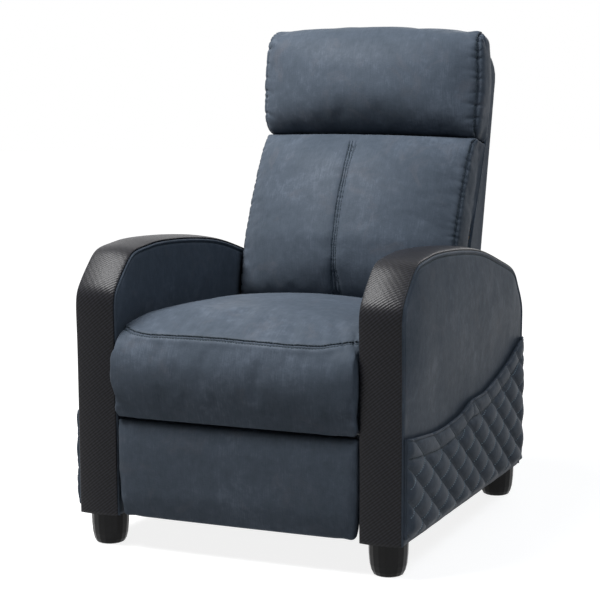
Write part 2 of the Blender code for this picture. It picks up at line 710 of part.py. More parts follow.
def cushion(name, home, half, lines, power, draw, place=lambda point: point, channel=False):
    """A crowned pad: its side outline grows into its centre outline across the width.

    Its two sides are drawn in at their middles by draw, or swell outwards where it is negative.
    """
    side_line, centre_line = lines
    rings = []
    for sign in (-1, 1):
        shares = STATION_SHARES if sign == -1 else STATION_SHARES[-2::-1]
        for share in shares:
            amount = crown(share, power)
            if channel and share == 0:
                amount -= CHANNEL_DIP_SHARE
            line = blend(side_line, centre_line, amount)
            rings.append([at(sign * share * half, *place(point)) for point in line])
    dished = [place(point) for point in drawn_in(side_line, SIDE_DRAW_SHARE)]
    rings.insert(0, [at(draw - half, *point) for point in dished])
    rings.append([at(half - draw, *point) for point in dished])
    bm = bmesh.new()
    loft(bm, rings)
    finish(bm, name, "faux_leather", home)


def seat_cushion(home):
    """The seat with its front roll, which hangs in front of the seat frame's front rail."""
    skirt = [(SEAT_FRAME_FRONT - TOUCH, SEAT_BASE - ROLL_DROP + BOARD / 4),
             (SEAT_FRAME_FRONT - TOUCH, SEAT_BASE), (SEAT_DEPTH - ROLL_OVERHANG, SEAT_BASE)]
    lines = []
    for shares in (SEAT_SIDE_SHARES, SEAT_CENTRE_SHARES):
        line = [(along - ROLL_OVERHANG, SEAT_BASE + height)
                for along, height in scaled(shares, SEAT_DEPTH, SEAT_RISE)]
        lines.append(line + skirt)
    cushion("seat_cushion", home, ARM_INNER - SEAT_PLAY, lines, SEAT_CROWN_POWER, SIDE_DRAW)


def back_cushion(name, home, ends, outlines, draw, channel):
    """A cushion on the shell's rim: its rear follows the rim between its two ends."""
    low, high = (end * BACK_RISE for end in ends)
    knots = [share * BACK_RISE for share, _ in RIM_SHARES if low < share * BACK_RISE < high]
    rear = [(rise, rim(rise) + TOUCH) for rise in [high] + knots[::-1] + [low]]
    lines = [scaled(shares, BACK_RISE, BACK_THICK) + rear for shares in outlines]
    cushion(name, home, BACK_HALF, lines, BACK_CROWN_POWER, draw,
            lambda point: back_point(*point), channel)


# The back
def back_shell(home):
    bm = bmesh.new()
    rings = []
    for sign in (-1, 1):
        for along, draw in SHELL_ROUND_SHARES[::-sign]:
            x = sign * (BACK_HALF - along * SHELL_ROUND)
            rings.append([at(x, *back_point(*point)) for point in shell_outline(draw * SHELL_ROUND)])
    loft(bm, rings)
    shell = finish(bm, "back_shell", "faux_leather", home)
    top = SHELL_START + SHELL_RISE - SHELL_ROUND
    skin = SHELL_WALL + SHELL_ROUND / 2
    inside = [(SHELL_START - CUT, skin), (top - rim(top), skin), (top, rim(top) - SHELL_WALL),
              (top, BACK_THICK), (SHELL_START - CUT, BACK_THICK)]
    bm = bmesh.new()
    half = BACK_HALF - SHELL_WALL
    slab(bm, [back_point(*point) for point in inside], -half, half)
    combine(shell, bm, "back_shell_recess", "DIFFERENCE")


def back_frame(home):
    """Two uprights that taper with the shell's rim, a rail at each end, and webbing."""
    rear = SHELL_WALL + SHELL_ROUND / 2 + TOUCH
    low = SHELL_START + SHELL_WALL
    top = SHELL_START + SHELL_RISE - SHELL_ROUND - rim(SHELL_START + SHELL_RISE)
    skin = WEB_THICK + 2 * TOUCH
    stops = [low] + [share * BACK_RISE for share, _ in RIM_SHARES[:2]] + [top]
    outline = [(low, rear), (top, rear)] + [(rise, rim(rise) - skin) for rise in reversed(stops)]
    outer = BACK_HALF - SHELL_WALL - TOUCH
    for side, word in ((1, "left"), (-1, "right")):
        bm = bmesh.new()
        slab(bm, [back_point(*point) for point in outline],
             side * (outer - UPRIGHT_WIDTH), side * outer)
        finish(bm, "back_upright_" + word, "frame_board", home, smooth=False)
    half = outer - UPRIGHT_WIDTH - STEEL - 2 * TOUCH
    for name, start in (("back_bottom_rail", low + BACK_RAIL_RISE / 2),
                        ("back_top_rail", top - BACK_RAIL_RISE)):
        end = start + BACK_RAIL_RISE
        front = min(rim(start), rim(end)) - skin
        corners = ((start, rear), (end, rear), (end, front), (start, front))
        bm = bmesh.new()
        slab(bm, [back_point(*point) for point in corners], -half, half)
        finish(bm, name, "frame_board", home, smooth=False)
    for number, share in enumerate(WEB_SHARES):
        start = SHELL_START + share * SHELL_RISE - WEB_WIDTH / 2
        end = start + WEB_WIDTH
        stations = ((start, rim(start)), (end, rim(end)))
        line = [(rise, front - TOUCH) for rise, front in stations]
        line += [(rise, front - TOUCH - WEB_THICK) for rise, front in reversed(stations)]
        bm = bmesh.new()
        slab(bm, [back_point(*point) for point in line], -outer, outer)
        finish(bm, f"back_webbing_{number + 1}", "webbing", home, smooth=False)


def back_brackets(home):
    """Steel arms from the uprights down and forward to the recline pivot."""
    outer = BACK_HALF - SHELL_WALL - TOUCH - UPRIGHT_WIDTH - TOUCH
    body = [back_point(*point) for point in scaled(BRACKET_SHARES, BACK_RISE, BACK_THICK)]
    outline = arc(RECLINE, RECLINE_EYE, 75, 285, 7) + body
    for side, word in ((1, "left"), (-1, "right")):
        bm = bmesh.new()
        slab(bm, outline, side * (outer - STEEL), side * outer, [(RECLINE, RECLINE_PIN + PIN_PLAY)])
        finish(bm, "back_bracket_" + word, "steel", home)
        inner_end = outer - STEEL - TOUCH
        outer_end = PLATE_OUTER + TOUCH
        head = RECLINE_PIN + STEEL
        profile = ((outer_end + STEEL, 0), (outer_end + STEEL, head), (outer_end, head),
                   (outer_end, RECLINE_PIN), (inner_end, RECLINE_PIN), (inner_end, head),
                   (inner_end - STEEL, head), (inner_end - STEEL, 0))
        bm = bmesh.new()
        rod(bm, [(side * along, radius) for along, radius in profile], at(0, *RECLINE))
        finish(bm, "back_pivot_pin_" + word, "steel", home)


# The footrest linkage
def link(name, home, plane, start, end, radii, holes):
    side = 1 if name.endswith("left") else -1
    bm = bmesh.new()
    slab(bm, stadium(start, end, *radii), side * (plane - STEEL), side * plane, holes)
    return finish(bm, name, "steel", home)


def rivet(name, home, pivot, high, low):
    """A headed pin through the links between two planes."""
    side = 1 if name.endswith("left") else -1
    profile = ((high + RIVET_HEAD_THICK, 0), (high + RIVET_HEAD_THICK, RIVET_HEAD), (high, RIVET_HEAD),
               (high, RIVET), (low, RIVET), (low, RIVET_HEAD), (low - RIVET_HEAD_THICK, RIVET_HEAD),
               (low - RIVET_HEAD_THICK, 0))
    bm = bmesh.new()
    rod(bm, [(side * along, radius) for along, radius in profile], at(0, *pivot))
    return finish(bm, name, "steel", home)


def linkage(homes):
    eye = RIVET + PIN_PLAY
    wide = RIVET + GUIDE_SLACK
    for word in ("left", "right"):
        side = 1 if word == "left" else -1
        link("lead_link_" + word, homes["lead"], PLANE_1, PIVOT["lead"], PIVOT["elbow"],
             (TORQUE_RADIUS, LINK_HALF), [(PIVOT["lead"], eye), (PIVOT["elbow"], eye)])
        link("guide_link_" + word, homes["guide"], PLANE_1, PIVOT["guide_foot"], PIVOT["guide_head"],
             (LINK_HALF, wide + STEEL), [(PIVOT["guide_foot"], eye), (PIVOT["guide_head"], wide)])
        carrier = link("carrier_link_" + word, homes["carrier"], PLANE_2, PIVOT["panel"],
                       PIVOT["guide_head"], (LINK_HALF, LINK_HALF),
                       [(PIVOT["panel"], eye), (PIVOT["elbow"], eye)])
        pin_end = PLANE_1 + TOUCH
        profile = ((PLANE_2 - STEEL / 2, 0), (PLANE_2 - STEEL / 2, RIVET), (pin_end, RIVET), (pin_end, 0))
        bm = bmesh.new()
        rod(bm, [(side * along, radius) for along, radius in profile], at(0, *PIVOT["guide_head"]))
        combine(carrier, bm, carrier.name + "_pin", "UNION")
        rivet("elbow_rivet_" + word, homes["lead"], PIVOT["elbow"], PLANE_1 + TOUCH,
              PLANE_2 - STEEL - TOUCH)
        rivet("panel_rivet_" + word, homes["carrier"], PIVOT["panel"], PLANE_2 + TOUCH,
              PLANE_3 - STEEL - TOUCH)
    bm = bmesh.new()
    half = PLANE_1 - STEEL - TOUCH
    profile = ((-half, TORQUE_BORE), (-half, TORQUE_RADIUS), (half, TORQUE_RADIUS), (half, TORQUE_BORE))
    rod(bm, profile, at(0, *PIVOT["lead"]))
    finish(bm, "lead_torque_tube", "steel", homes["lead"])


def footrest(home):
    top, rear = PAD_LOW + PAD_RISE, PAD_FRONT + PAD_THICK
    half = ARM_INNER - PAD_PLAY
    rings = []
    mirrored = [(-share, lift) for share, lift in reversed(PAD_LIFT_SHARES[:-1])]
    for share, lift in list(PAD_LIFT_SHARES) + mirrored:
        line = blend(PAD_SIDE_SHARES, PAD_CENTRE_SHARES, crown(share, BACK_CROWN_POWER))
        low = PAD_LOW + lift * PAD_RISE
        ring = [(rear - out * PAD_THICK, low + height * (top - low)) for height, out in line]
        ring += [(rear, low), (rear, top)]
        rings.append([at(share * half, *point) for point in ring])
    bm = bmesh.new()
    loft(bm, rings)
    finish(bm, "footrest_pad", "faux_leather", home)
    bm = bmesh.new()
    inner = half - BOARD_MARGIN - PAD_THICK / 2
    board_front, board_rear = rear + TOUCH, rear + TOUCH + BOARD_THIN
    block(bm, at(-inner, board_front, PAD_LOW + BOARD_MARGIN),
          at(inner, board_rear, top - BOARD_MARGIN), STEEL / 3)
    finish(bm, "footrest_board", "frame_board", home, smooth=False)
    pivot = PIVOT["panel"]
    flange = board_rear + TOUCH
    root = flange + STEEL / 2
    base = pivot.y - BRACKET_RISE / 2
    outline = (arc(pivot, LINK_HALF + TOUCH, 270, 450, 6)
               + [(root, base + BRACKET_RISE), (root, base)])
    for side, word in ((1, "left"), (-1, "right")):
        bm = bmesh.new()
        slab(bm, outline, side * (PLANE_3 - STEEL), side * PLANE_3, [(pivot, RIVET + PIN_PLAY)])
        bracket = finish(bm, "footrest_bracket_" + word, "steel", home)
        bm = bmesh.new()
        xs = sorted((side * (PLANE_3 - STEEL / 2), side * (PLANE_3 - BRACKET_FLANGE)))
        block(bm, at(xs[0], flange, base - STEEL),
              at(xs[1], flange + STEEL, base + BRACKET_RISE + STEEL))
        combine(bracket, bm, bracket.name + "_flange", "UNION")


MATERIALS = {}


def main():
    clear_scene()
    MATERIALS.update({
        "faux_leather": material("faux_leather", (0.079, 0.112, 0.153), 0.55),
        "strap_twill": material("strap_twill", (0.012, 0.013, 0.015), 0.42),
        "foot_plastic": material("foot_plastic", (0.010, 0.010, 0.011), 0.35),
        "glide_plastic": material("glide_plastic", (0.62, 0.60, 0.54), 0.50),
        "frame_board": material("frame_board", (0.42, 0.28, 0.15), 0.75),
        "webbing": material("webbing", (0.05, 0.05, 0.05), 0.85),
        "steel": material("steel", (0.09, 0.09, 0.10), 0.40, 0.9),
    })
    for side, word in ((1, "left"), (-1, "right")):
        arm_cover(side, "arm_cover_" + word)
        arm_frame(side, "arm_frame_" + word)
        arm_strap(side, "arm_strap_" + word)
        pocket_panel(side, "pocket_panel_" + word)
        pocket_gusset(side, "pocket_gusset_" + word)
    feet()
    base_rails()
    carriage = empty("seat_slide_origin", at(0, SEAT_FRAME_FRONT, RAIL_LOW))
    recline = empty("recline_pivot", at(0, *RECLINE), carriage)
    lead = empty("lead_pivot", at(0, *PIVOT["lead"]), carriage)
    guide = empty("guide_pivot", at(0, *PIVOT["guide_foot"]), carriage)
    carrier = empty("elbow_pivot", at(0, *PIVOT["elbow"]), lead)
    panel = empty("panel_pivot", at(0, *PIVOT["panel"]), carrier)
    seat_frame(carriage)
    seat_springs(carriage)
    mechanism_plates(carriage)
    seat_cushion(carriage)
    back_shell(recline)
    back_frame(recline)
    back_brackets(recline)
    back_cushion("lumbar_cushion", recline, LUMBAR_ENDS_SHARES,
                 (LUMBAR_SIDE_SHARES, LUMBAR_CENTRE_SHARES), SIDE_DRAW, True)
    back_cushion("headrest_cushion", recline, HEAD_ENDS_SHARES,
                 (HEAD_SIDE_SHARES, HEAD_CENTRE_SHARES), -HEAD_SWELL, False)
    linkage({"lead": lead, "guide": guide, "carrier": carrier})
    footrest(panel)


main()
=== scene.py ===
# %% [markdown]
# # A push-back recliner, dressed
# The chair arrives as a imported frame: every board, link and foot is in its real place, and the
# cushions and covers are plain solids. This lesson dresses it. It swells the cushions as cloth,
# cuts the arm covers, quilts the pockets, sews the seams and gives every part its finish.

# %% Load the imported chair
import json
import math
import random

import bmesh
import bpy
import numpy as np
from mathutils import Matrix, Vector, noise
from mathutils.bvhtree import BVHTree
from mathutils.kdtree import KDTree

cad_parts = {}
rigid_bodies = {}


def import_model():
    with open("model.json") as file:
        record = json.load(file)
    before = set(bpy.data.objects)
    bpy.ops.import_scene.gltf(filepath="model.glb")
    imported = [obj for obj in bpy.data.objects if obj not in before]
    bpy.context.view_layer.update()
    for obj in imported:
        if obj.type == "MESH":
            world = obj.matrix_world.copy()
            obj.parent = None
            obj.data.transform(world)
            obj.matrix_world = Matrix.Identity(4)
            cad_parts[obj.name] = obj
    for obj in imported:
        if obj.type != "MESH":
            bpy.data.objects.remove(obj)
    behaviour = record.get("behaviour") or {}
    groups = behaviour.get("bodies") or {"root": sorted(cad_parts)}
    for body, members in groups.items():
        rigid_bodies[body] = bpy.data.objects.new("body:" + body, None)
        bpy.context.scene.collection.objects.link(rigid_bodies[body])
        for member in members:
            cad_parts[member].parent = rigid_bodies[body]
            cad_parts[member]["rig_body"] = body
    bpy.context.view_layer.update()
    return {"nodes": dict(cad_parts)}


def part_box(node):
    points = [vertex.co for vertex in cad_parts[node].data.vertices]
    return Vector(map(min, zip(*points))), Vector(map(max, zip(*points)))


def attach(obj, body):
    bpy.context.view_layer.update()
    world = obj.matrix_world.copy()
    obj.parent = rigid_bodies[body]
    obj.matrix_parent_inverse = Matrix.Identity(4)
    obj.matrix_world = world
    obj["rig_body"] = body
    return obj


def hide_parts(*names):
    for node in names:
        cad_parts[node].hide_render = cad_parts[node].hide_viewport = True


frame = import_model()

NODES = frame["nodes"]

# %% [markdown]
# ## The camera
# A photograph of a chair is taken from a few metres away with a long lens. The place and the lens
# below are the ones at which the chair's known sizes fall where the photograph shows them.

# %% Place the camera
TURN, TILT, ROLL = math.radians(23.33), math.radians(7.84), math.radians(-0.06)
towards_lens = Vector((math.sin(TURN) * math.cos(TILT), -math.cos(TURN) * math.cos(TILT), math.sin(TILT)))
across = Vector((0, 0, 1)).cross(towards_lens).normalized()
axes = Matrix((across, towards_lens.cross(across), towards_lens)).transposed()
camera = bpy.data.objects.new("camera", bpy.data.cameras.new("camera"))
camera.data.sensor_width = 36
camera.data.lens = 108.2
camera.matrix_world = (Matrix.Translation((1.408, -3.3493, 0.946))
                       @ (Matrix.Rotation(ROLL, 3, towards_lens) @ axes).to_4x4())
bpy.context.scene.collection.objects.link(camera)
bpy.context.scene.camera = camera
print("camera at", camera.location[:])

# %% [markdown]
# ## Shader helpers
# Colours are picked as sRGB hex values, because that is what a colour chart gives, and shaders
# work in linear light, so one function converts them. Another adds a node with its links, and the
# rest stand for the few nodes that every finish uses.

# %% Colours and nodes
def colour(code):
    """An sRGB hex value as the linear colour that a shader takes."""
    channels = [int(code[i:i + 2], 16) / 255 for i in (1, 3, 5)]
    return tuple(c / 12.92 if c <= 0.04045 else ((c + 0.055) / 1.055) ** 2.4
                 for c in channels) + (1.0,)


def add(tree, kind, inputs=None, **settings):
    """Adds a shader node: settings are its own options, inputs are values or other sockets."""
    made = tree.nodes.new("ShaderNode" + kind)
    for name, value in settings.items():
        setattr(made, name, value)
    for name, value in (inputs or {}).items():
        if isinstance(value, bpy.types.NodeSocket):
            tree.links.new(value, made.inputs[name])
        else:
            made.inputs[name].default_value = value
    return made


def finish_of(name):
    """A material with an empty tree and its output."""
    made = bpy.data.materials.new(name)
    made.use_nodes = True
    made.node_tree.nodes.clear()
    return made, made.node_tree, add(made.node_tree, "OutputMaterial")


def noise_of(tree, place, scale, detail, roughness, distortion=0.0):
    return add(tree, "TexNoise", {"Vector": place, "Scale": scale, "Detail": detail,
                                  "Roughness": roughness, "Distortion": distortion}).outputs["Fac"]


def ranged(tree, value, low, high, to_low=0.0, to_high=1.0):
    """A value from low to high, mapped to the range from to_low to to_high."""
    return add(tree, "MapRange", {"Value": value, "From Min": low, "From Max": high,
                                  "To Min": to_low, "To Max": to_high}).outputs[0]


def maths(tree, operation, *values):
    return add(tree, "Math", dict(enumerate(values)), operation=operation).outputs[0]


def blended(tree, share, first, second):
    """Two colours, mixed by a share from 0 to 1."""
    return add(tree, "Mix", {0: share, 6: first, 7: second}, data_type="RGBA").outputs[2]


def coated(finish, base, roughness, height, strength, distance, more):
    """The finish's surface: a colour and a gloss, embossed by a height; more is other inputs."""
    made, tree, out = finish
    bump = add(tree, "Bump", {"Height": height, "Strength": strength, "Distance": distance})
    shader = add(tree, "BsdfPrincipled", {"Base Color": base, "Roughness": roughness,
                                          "Normal": bump.outputs[0], **more})
    tree.links.new(shader.outputs[0], out.inputs["Surface"])
    return made


# %% [markdown]
# ## Faux leather
# The cover is polyurethane leather: a knitted cloth with a thin skin, printed in cloudy tones of
# blue grey and pressed with a fine pebble grain. A photograph could be used for the print, but
# noise at three sizes gives the same clouds at any scale. The knit under the skin shows as faint
# rows two millimetres apart, which run down the fronts and the sides alike, so the noise is
# stretched one way or the other by the direction that a face looks. The real grain is about one
# millimetre; it is drawn at three, because a finer one would not show at this distance. A noise
# texture on coordinates in metres has features of about one metre divided by its scale.

# %% Mix the faux leather
CLOUD_SCALE, PATCH_SCALE, MOTTLE_SCALE = 8.0, 13.0, 60.0
ROW_SCALE, ROW_STRETCH = 520, 40
PEBBLE_SCALE, CREASE_SCALE = 330.0, 90.0


def faux_leather(name, dark, mid, light, warm):
    finish = finish_of(name)
    tree = finish[1]
    coords = add(tree, "TexCoord")
    place = coords.outputs["Object"]
    clouds = noise_of(tree, place, CLOUD_SCALE, 4.0, 0.62, 0.6)
    mottle = noise_of(tree, place, MOTTLE_SCALE, 5.0, 0.65, 0.3)
    facing = add(tree, "SeparateXYZ", {"Vector": coords.outputs["Normal"]})
    turned = ranged(tree, maths(tree, "ABSOLUTE", facing.outputs["X"]), 0.55, 0.85)
    down_front = add(tree, "Mapping", {"Vector": place, "Scale": (ROW_SCALE, ROW_STRETCH, ROW_STRETCH)})
    down_side = add(tree, "Mapping", {"Vector": place, "Scale": (ROW_STRETCH, ROW_SCALE, ROW_STRETCH)})
    rows = add(tree, "Mix", {0: turned, 4: down_front.outputs[0], 5: down_side.outputs[0]},
               data_type="VECTOR")
    streak = noise_of(tree, rows.outputs[1], 1.0, 2.0, 0.5)
    tone = maths(tree, "MULTIPLY", ranged(tree, clouds, 0.34, 0.66), 0.42)
    tone = maths(tree, "MULTIPLY_ADD", ranged(tree, mottle, 0.36, 0.64), 0.33, tone)
    tone = maths(tree, "MULTIPLY_ADD", ranged(tree, streak, 0.30, 0.70), 0.25, tone)
    base = blended(tree, tone, colour(dark), colour(mid))
    base = blended(tree, ranged(tree, tone, 0.60, 0.95, 0.0, 0.32), base, colour(light))
    patch = noise_of(tree, place, PATCH_SCALE, 5.0, 0.68, 1.0)
    base = blended(tree, ranged(tree, patch, 0.55, 0.72, 0.0, 0.36), base, colour(warm))
    grain = add(tree, "TexVoronoi", {"Vector": place, "Scale": PEBBLE_SCALE}, feature="SMOOTH_F1")
    crease = noise_of(tree, place, CREASE_SCALE, 5.0, 0.6)
    relief = maths(tree, "MULTIPLY_ADD", crease, 1.2, grain.outputs["Distance"])
    return coated(finish, base, ranged(tree, tone, 0.0, 1.0, 0.52, 0.40), relief, 0.28, 0.0006,
                  {"IOR": 1.46, "Specular IOR Level": 0.04})


LEATHER = faux_leather("polyurethane_leather_blue_grey", "#404851", "#505863", "#626b77", "#5a5b61")
print("mixed", LEATHER.name)

# %% [markdown]
# ## The strap's embossed vinyl
# The dark straps are vinyl pressed with a twill, like woven carbon fibre: narrow ribs that climb
# across the strap. The pattern has to follow the strap round the arm, so it reads the strap's own
# UV map, which is laid out in metres. A wave texture at scale 1 repeats every 0.314 of those, so
# that length divided by the spacing gives the scale. The real ribs are finer than the five
# millimetres drawn here; finer ones would not show at this distance.

# %% Mix the embossed vinyl
WAVE_LENGTH = 0.314
RIB_SPACING, STEP_SPACING, RIB_ANGLE = 0.0050, 0.0095, math.radians(52)


def embossed_vinyl(name, deep, raised):
    finish = finish_of(name)
    tree = finish[1]
    flat = add(tree, "TexCoord").outputs["UV"]
    turned = add(tree, "Mapping", {"Vector": flat, "Rotation": (0, 0, RIB_ANGLE)}).outputs[0]
    ribs = add(tree, "TexWave", {"Vector": turned, "Scale": WAVE_LENGTH / RIB_SPACING,
                                 "Distortion": 0.25, "Detail": 2.0, "Detail Scale": 3.0})
    steps = add(tree, "TexWave", {"Vector": turned, "Scale": WAVE_LENGTH / STEP_SPACING},
                bands_direction="Y")
    weave = maths(tree, "MULTIPLY_ADD", steps.outputs["Fac"], 0.30, ribs.outputs["Fac"])
    base = blended(tree, ranged(tree, weave, 0.25, 1.15), colour(deep), colour(raised))
    return coated(finish, base, 0.36, weave, 0.35, 0.0008, {"IOR": 1.5, "Specular IOR Level": 0.17})


VINYL = embossed_vinyl("vinyl_embossed_twill_black", "#020203", "#202026")
print("mixed", VINYL.name)

# %% [markdown]
# ## Hard finishes
# What is inside the chair is plain: beech plywood, black oxide steel, nylon runners, polypropylene
# webbing and feet of moulded ABS. Three rails are covered with black dust cloth, because they show
# when the footrest opens and below the back. One function serves them all. It takes the two tones
# of the material, the size of its grain in each direction, and how much the light catches it.

# %% Mix the hard finishes
def plain_finish(name, first, second, grain, roughness, bump, metallic=0.0, specular=0.3):
    finish = finish_of(name)
    tree = finish[1]
    place = add(tree, "TexCoord").outputs["Object"]
    stretched = add(tree, "Mapping", {"Vector": place, "Scale": grain}).outputs[0]
    figure = noise_of(tree, stretched, 1.0, 5.0, 0.6)
    base = blended(tree, ranged(tree, figure, 0.35, 0.65), colour(first), colour(second))
    gloss = ranged(tree, figure, 0.0, 1.0, roughness - 0.08, roughness + 0.08)
    return coated(finish, base, gloss, figure, bump, 0.0005,
                  {"Metallic": metallic, "Specular IOR Level": specular})


FINISHES = {
    "faux_leather": LEATHER,
    "strap_twill": VINYL,
    "foot_plastic": plain_finish("moulded_abs_black", "#0b0b0c", "#121214", (400, 400, 400), 0.30, 0.15,
                                 specular=0.14),
    "glide_plastic": plain_finish("nylon_natural", "#c9c4b6", "#d8d4c8", (60, 60, 60), 0.45, 0.1),
    "frame_board": plain_finish("beech_plywood", "#a9845a", "#c7a679", (30, 12, 160), 0.66, 0.3),
    "webbing": plain_finish("polypropylene_webbing_black", "#18181a", "#2a2a2c", (500, 60, 500), 0.8, 0.8),
    "steel": plain_finish("black_oxide_steel", "#26272a", "#34353a", (90, 90, 90), 0.42, 0.15, 1.0),
}
DUST_CLOTH = plain_finish("spunbond_polypropylene_black", "#0e0e0f", "#19191b", (700, 700, 700), 0.85, 0.6,
                          specular=0.1)
COVERED = ("seat_front_rail", "seat_rear_rail", "back_bottom_rail")
for name, node in NODES.items():
    kept = node.data.materials[0].name.split(".")[0]
    node.data.materials.clear()
    node.data.materials.append(DUST_CLOTH if name in COVERED else FINISHES[kept])
print("finished", len(NODES), "nodes")

# %% [markdown]
# ## Tools for soft pieces
# Most pieces below start in one of two ways: as a copy of their CAD solid, or as a flat grid that
# is laid on a surface. Both end in the same two calls, which make the object, hide the CAD node
# that it replaces, and let it move with that node's body.

# %% Make a piece
def piece(bm, name, material, smooth=True):
    """Turns a bmesh into an object at the origin."""
    mesh = bpy.data.meshes.new(name)
    bm.to_mesh(mesh)
    bm.free()
    if smooth:
        mesh.shade_smooth()
    mesh.materials.append(material)
    made = bpy.data.objects.new(name, mesh)
    bpy.context.scene.collection.objects.link(made)
    return made


def dress(made, slot, *nodes):
    """The piece stands for the CAD nodes and moves with the first one's body."""
    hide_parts(*nodes)
    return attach(made, NODES[nodes[0]]["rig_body"])


def bmesh_of(made):
    """A bmesh of an object, to be shaped, and given back if it is a piece."""
    bm = bmesh.new()
    bm.from_mesh(made.data)
    return bm


def give_back(bm, made):
    bm.to_mesh(made.data)
    bm.free()
    return made


def iron(bm, verts, rounds):
    """Moves each point towards the middle of its neighbours, a number of times."""
    for _ in range(rounds):
        bmesh.ops.smooth_vert(bm, verts=verts, factor=0.5, use_axis_x=True, use_axis_y=True,
                              use_axis_z=True)


def cut(bm, place, normal, **settings):
    """Cuts a bmesh by a plane."""
    bmesh.ops.bisect_plane(bm, geom=bm.verts[:] + bm.edges[:] + bm.faces[:], dist=1e-7,
                           plane_co=place, plane_no=normal, **settings)


def on_side(bm, side):
    """Puts a bmesh on its own side of the chair and turns its faces outwards."""
    bmesh.ops.scale(bm, vec=(side, 1, 1), verts=bm.verts)
    bmesh.ops.recalc_face_normals(bm, faces=bm.faces)
    return bm


def tree_of(bm):
    """A search tree over a bmesh's faces; the bmesh itself is freed."""
    tree = BVHTree.FromBMesh(bm)
    bm.free()
    return tree


def applied(made):
    """Bakes the piece's modifiers into its mesh."""
    graph = bpy.context.evaluated_depsgraph_get()
    baked = bpy.data.meshes.new_from_object(made.evaluated_get(graph), depsgraph=graph)
    made.modifiers.clear()
    made.data = baked
    return made


def cad_copy(node):
    """A bmesh of a CAD node with its loose triangles joined up."""
    bm = bmesh_of(NODES[node])
    bmesh.ops.remove_doubles(bm, verts=bm.verts, dist=1e-5)
    return bm


# %% Read and write a mesh's points in one go
def points_of(made):
    flat = np.empty(len(made.data.vertices) * 3)
    made.data.vertices.foreach_get("co", flat)
    return flat.reshape(-1, 3)


def normals_of(made):
    flat = np.empty(len(made.data.vertices) * 3, np.float32)
    made.data.vertex_normals.foreach_get("vector", flat)
    return flat.reshape(-1, 3).astype(float)


def set_points(made, points):
    made.data.vertices.foreach_set("co", np.asarray(points, np.float32).ravel())
    made.data.update()


def widen(points, amount):
    """Moves points away from the chair's middle."""
    points[:, 0] += np.sign(points[:, 0]) * amount


def rising(values, start, reach):
    """From 0 at start evenly to 1 a reach further."""
    return np.clip((values - start) / reach, 0, 1)


# %% Lines through points
def smooth_line(points, steps=6):
    """A Catmull-Rom curve through the points."""
    line = []
    last = len(points) - 1
    for i in range(last):
        p0, p1, p2, p3 = (Vector(points[max(0, min(last, i + k))]) for k in (-1, 0, 1, 2))
        for step in range(steps):
            t = step / steps
            line.append(((2 * p1) + (p2 - p0) * t + (2 * p0 - 5 * p1 + 4 * p2 - p3) * t * t
                         + (3 * p1 - p0 - 3 * p2 + p3) * t ** 3) / 2)
    line.append(Vector(points[-1]))
    return line


def spaced(line, step):
    """Points at equal steps along a line, from its first to its last."""
    lengths = np.array([(b - a).length for a, b in zip(line, line[1:])])
    reach = np.concatenate(([0.0], np.cumsum(lengths)))
    stops = np.linspace(0, reach[-1], max(2, round(reach[-1] / step) + 1))
    table = np.array([tuple(p) for p in line])
    return [Vector(row) for row in np.stack([np.interp(stops, reach, table[:, i])
                                             for i in range(table.shape[1])], axis=1)]


def way_at(line, i):
    """The direction of a line at one of its points."""
    return (line[min(i + 1, len(line) - 1)] - line[max(i - 1, 0)]).normalized()


def offset_line(line, distance):
    """A flat line moved sideways, to the left of its direction when distance is positive."""
    ways = [way_at(line, i) for i in range(len(line))]
    return [point + distance * Vector((-way.y, way.x)) for point, way in zip(line, ways)]


# %% Lay a grid on a surface
def laid_grid(columns, rows, place, uv=None):
    """A grid whose cell corners go where place(along, across) says, both from 0 to 1."""
    bm = bmesh.new()
    made = bmesh.ops.create_grid(bm, x_segments=columns, y_segments=rows, size=0.5)
    shares = {vert: (vert.co.x + 0.5, vert.co.y + 0.5) for vert in made["verts"]}
    if uv:
        layer = bm.loops.layers.uv.new("surface")
        for face in bm.faces:
            for loop in face.loops:
                loop[layer].uv = uv(*shares[loop.vert])
    for vert, (along, across) in shares.items():
        vert.co = place(along, across)
    return bm


def swept(line, section, flat=None):
    """Carries a section of (x, lift) along a flat line; lift is measured square to the line."""
    lanes = {lift: offset_line(line, lift) for _, lift in section}
    ends, last = len(line) - 1, len(section) - 1

    def place(along, across):
        x, lift = section[round(across * last)]
        point = lanes[lift][round(along * ends)]
        return Vector((x, point.x, point.y))

    def uv(along, across):
        return flat[0][round(across * last)], along * flat[1]

    return laid_grid(ends, last, place, uv if flat else None)


def closed(bm):
    """Fills a sweep's open ends and edges and turns its faces outwards."""
    bmesh.ops.remove_doubles(bm, verts=bm.verts, dist=1e-6)
    bmesh.ops.holes_fill(bm, edges=[edge for edge in bm.edges if edge.is_boundary])
    bmesh.ops.recalc_face_normals(bm, faces=bm.faces)
    return bm


def line_length(line):
    return sum((b - a).length for a, b in zip(line, line[1:]))


# %% [markdown]
# ## The arm's outline
# The side view of the arm is one curve from the front foot over the top to the rear foot. The
# same points shaped the solid, so the dressed arm lies exactly on it. Here the curve is sampled
# finely, because leather shows every flat.

# %% Draw the arm's outline
ARM_SHARES = (
    (0.000, 0.000), (-0.004, 0.598), (-0.007, 0.808), (0.016, 0.870), (0.058, 0.932),
    (0.101, 0.979), (0.179, 0.994), (0.269, 1.000), (0.444, 0.986), (0.614, 0.955),
    (0.778, 0.895), (0.911, 0.835), (0.957, 0.769), (1.005, 0.672), (1.008, 0.563),
    (1.000, 0.000),
)
ARM_INNER, ARM_OUTER = 0.2485, 0.330
ARM_DEPTH, ARM_RISE, ARM_LOW = 0.744, 0.515, 0.0643
DATUM = -0.394305
STRAP_SINK = 0.0035
SIDES = ((1, "left"), (-1, "right"))


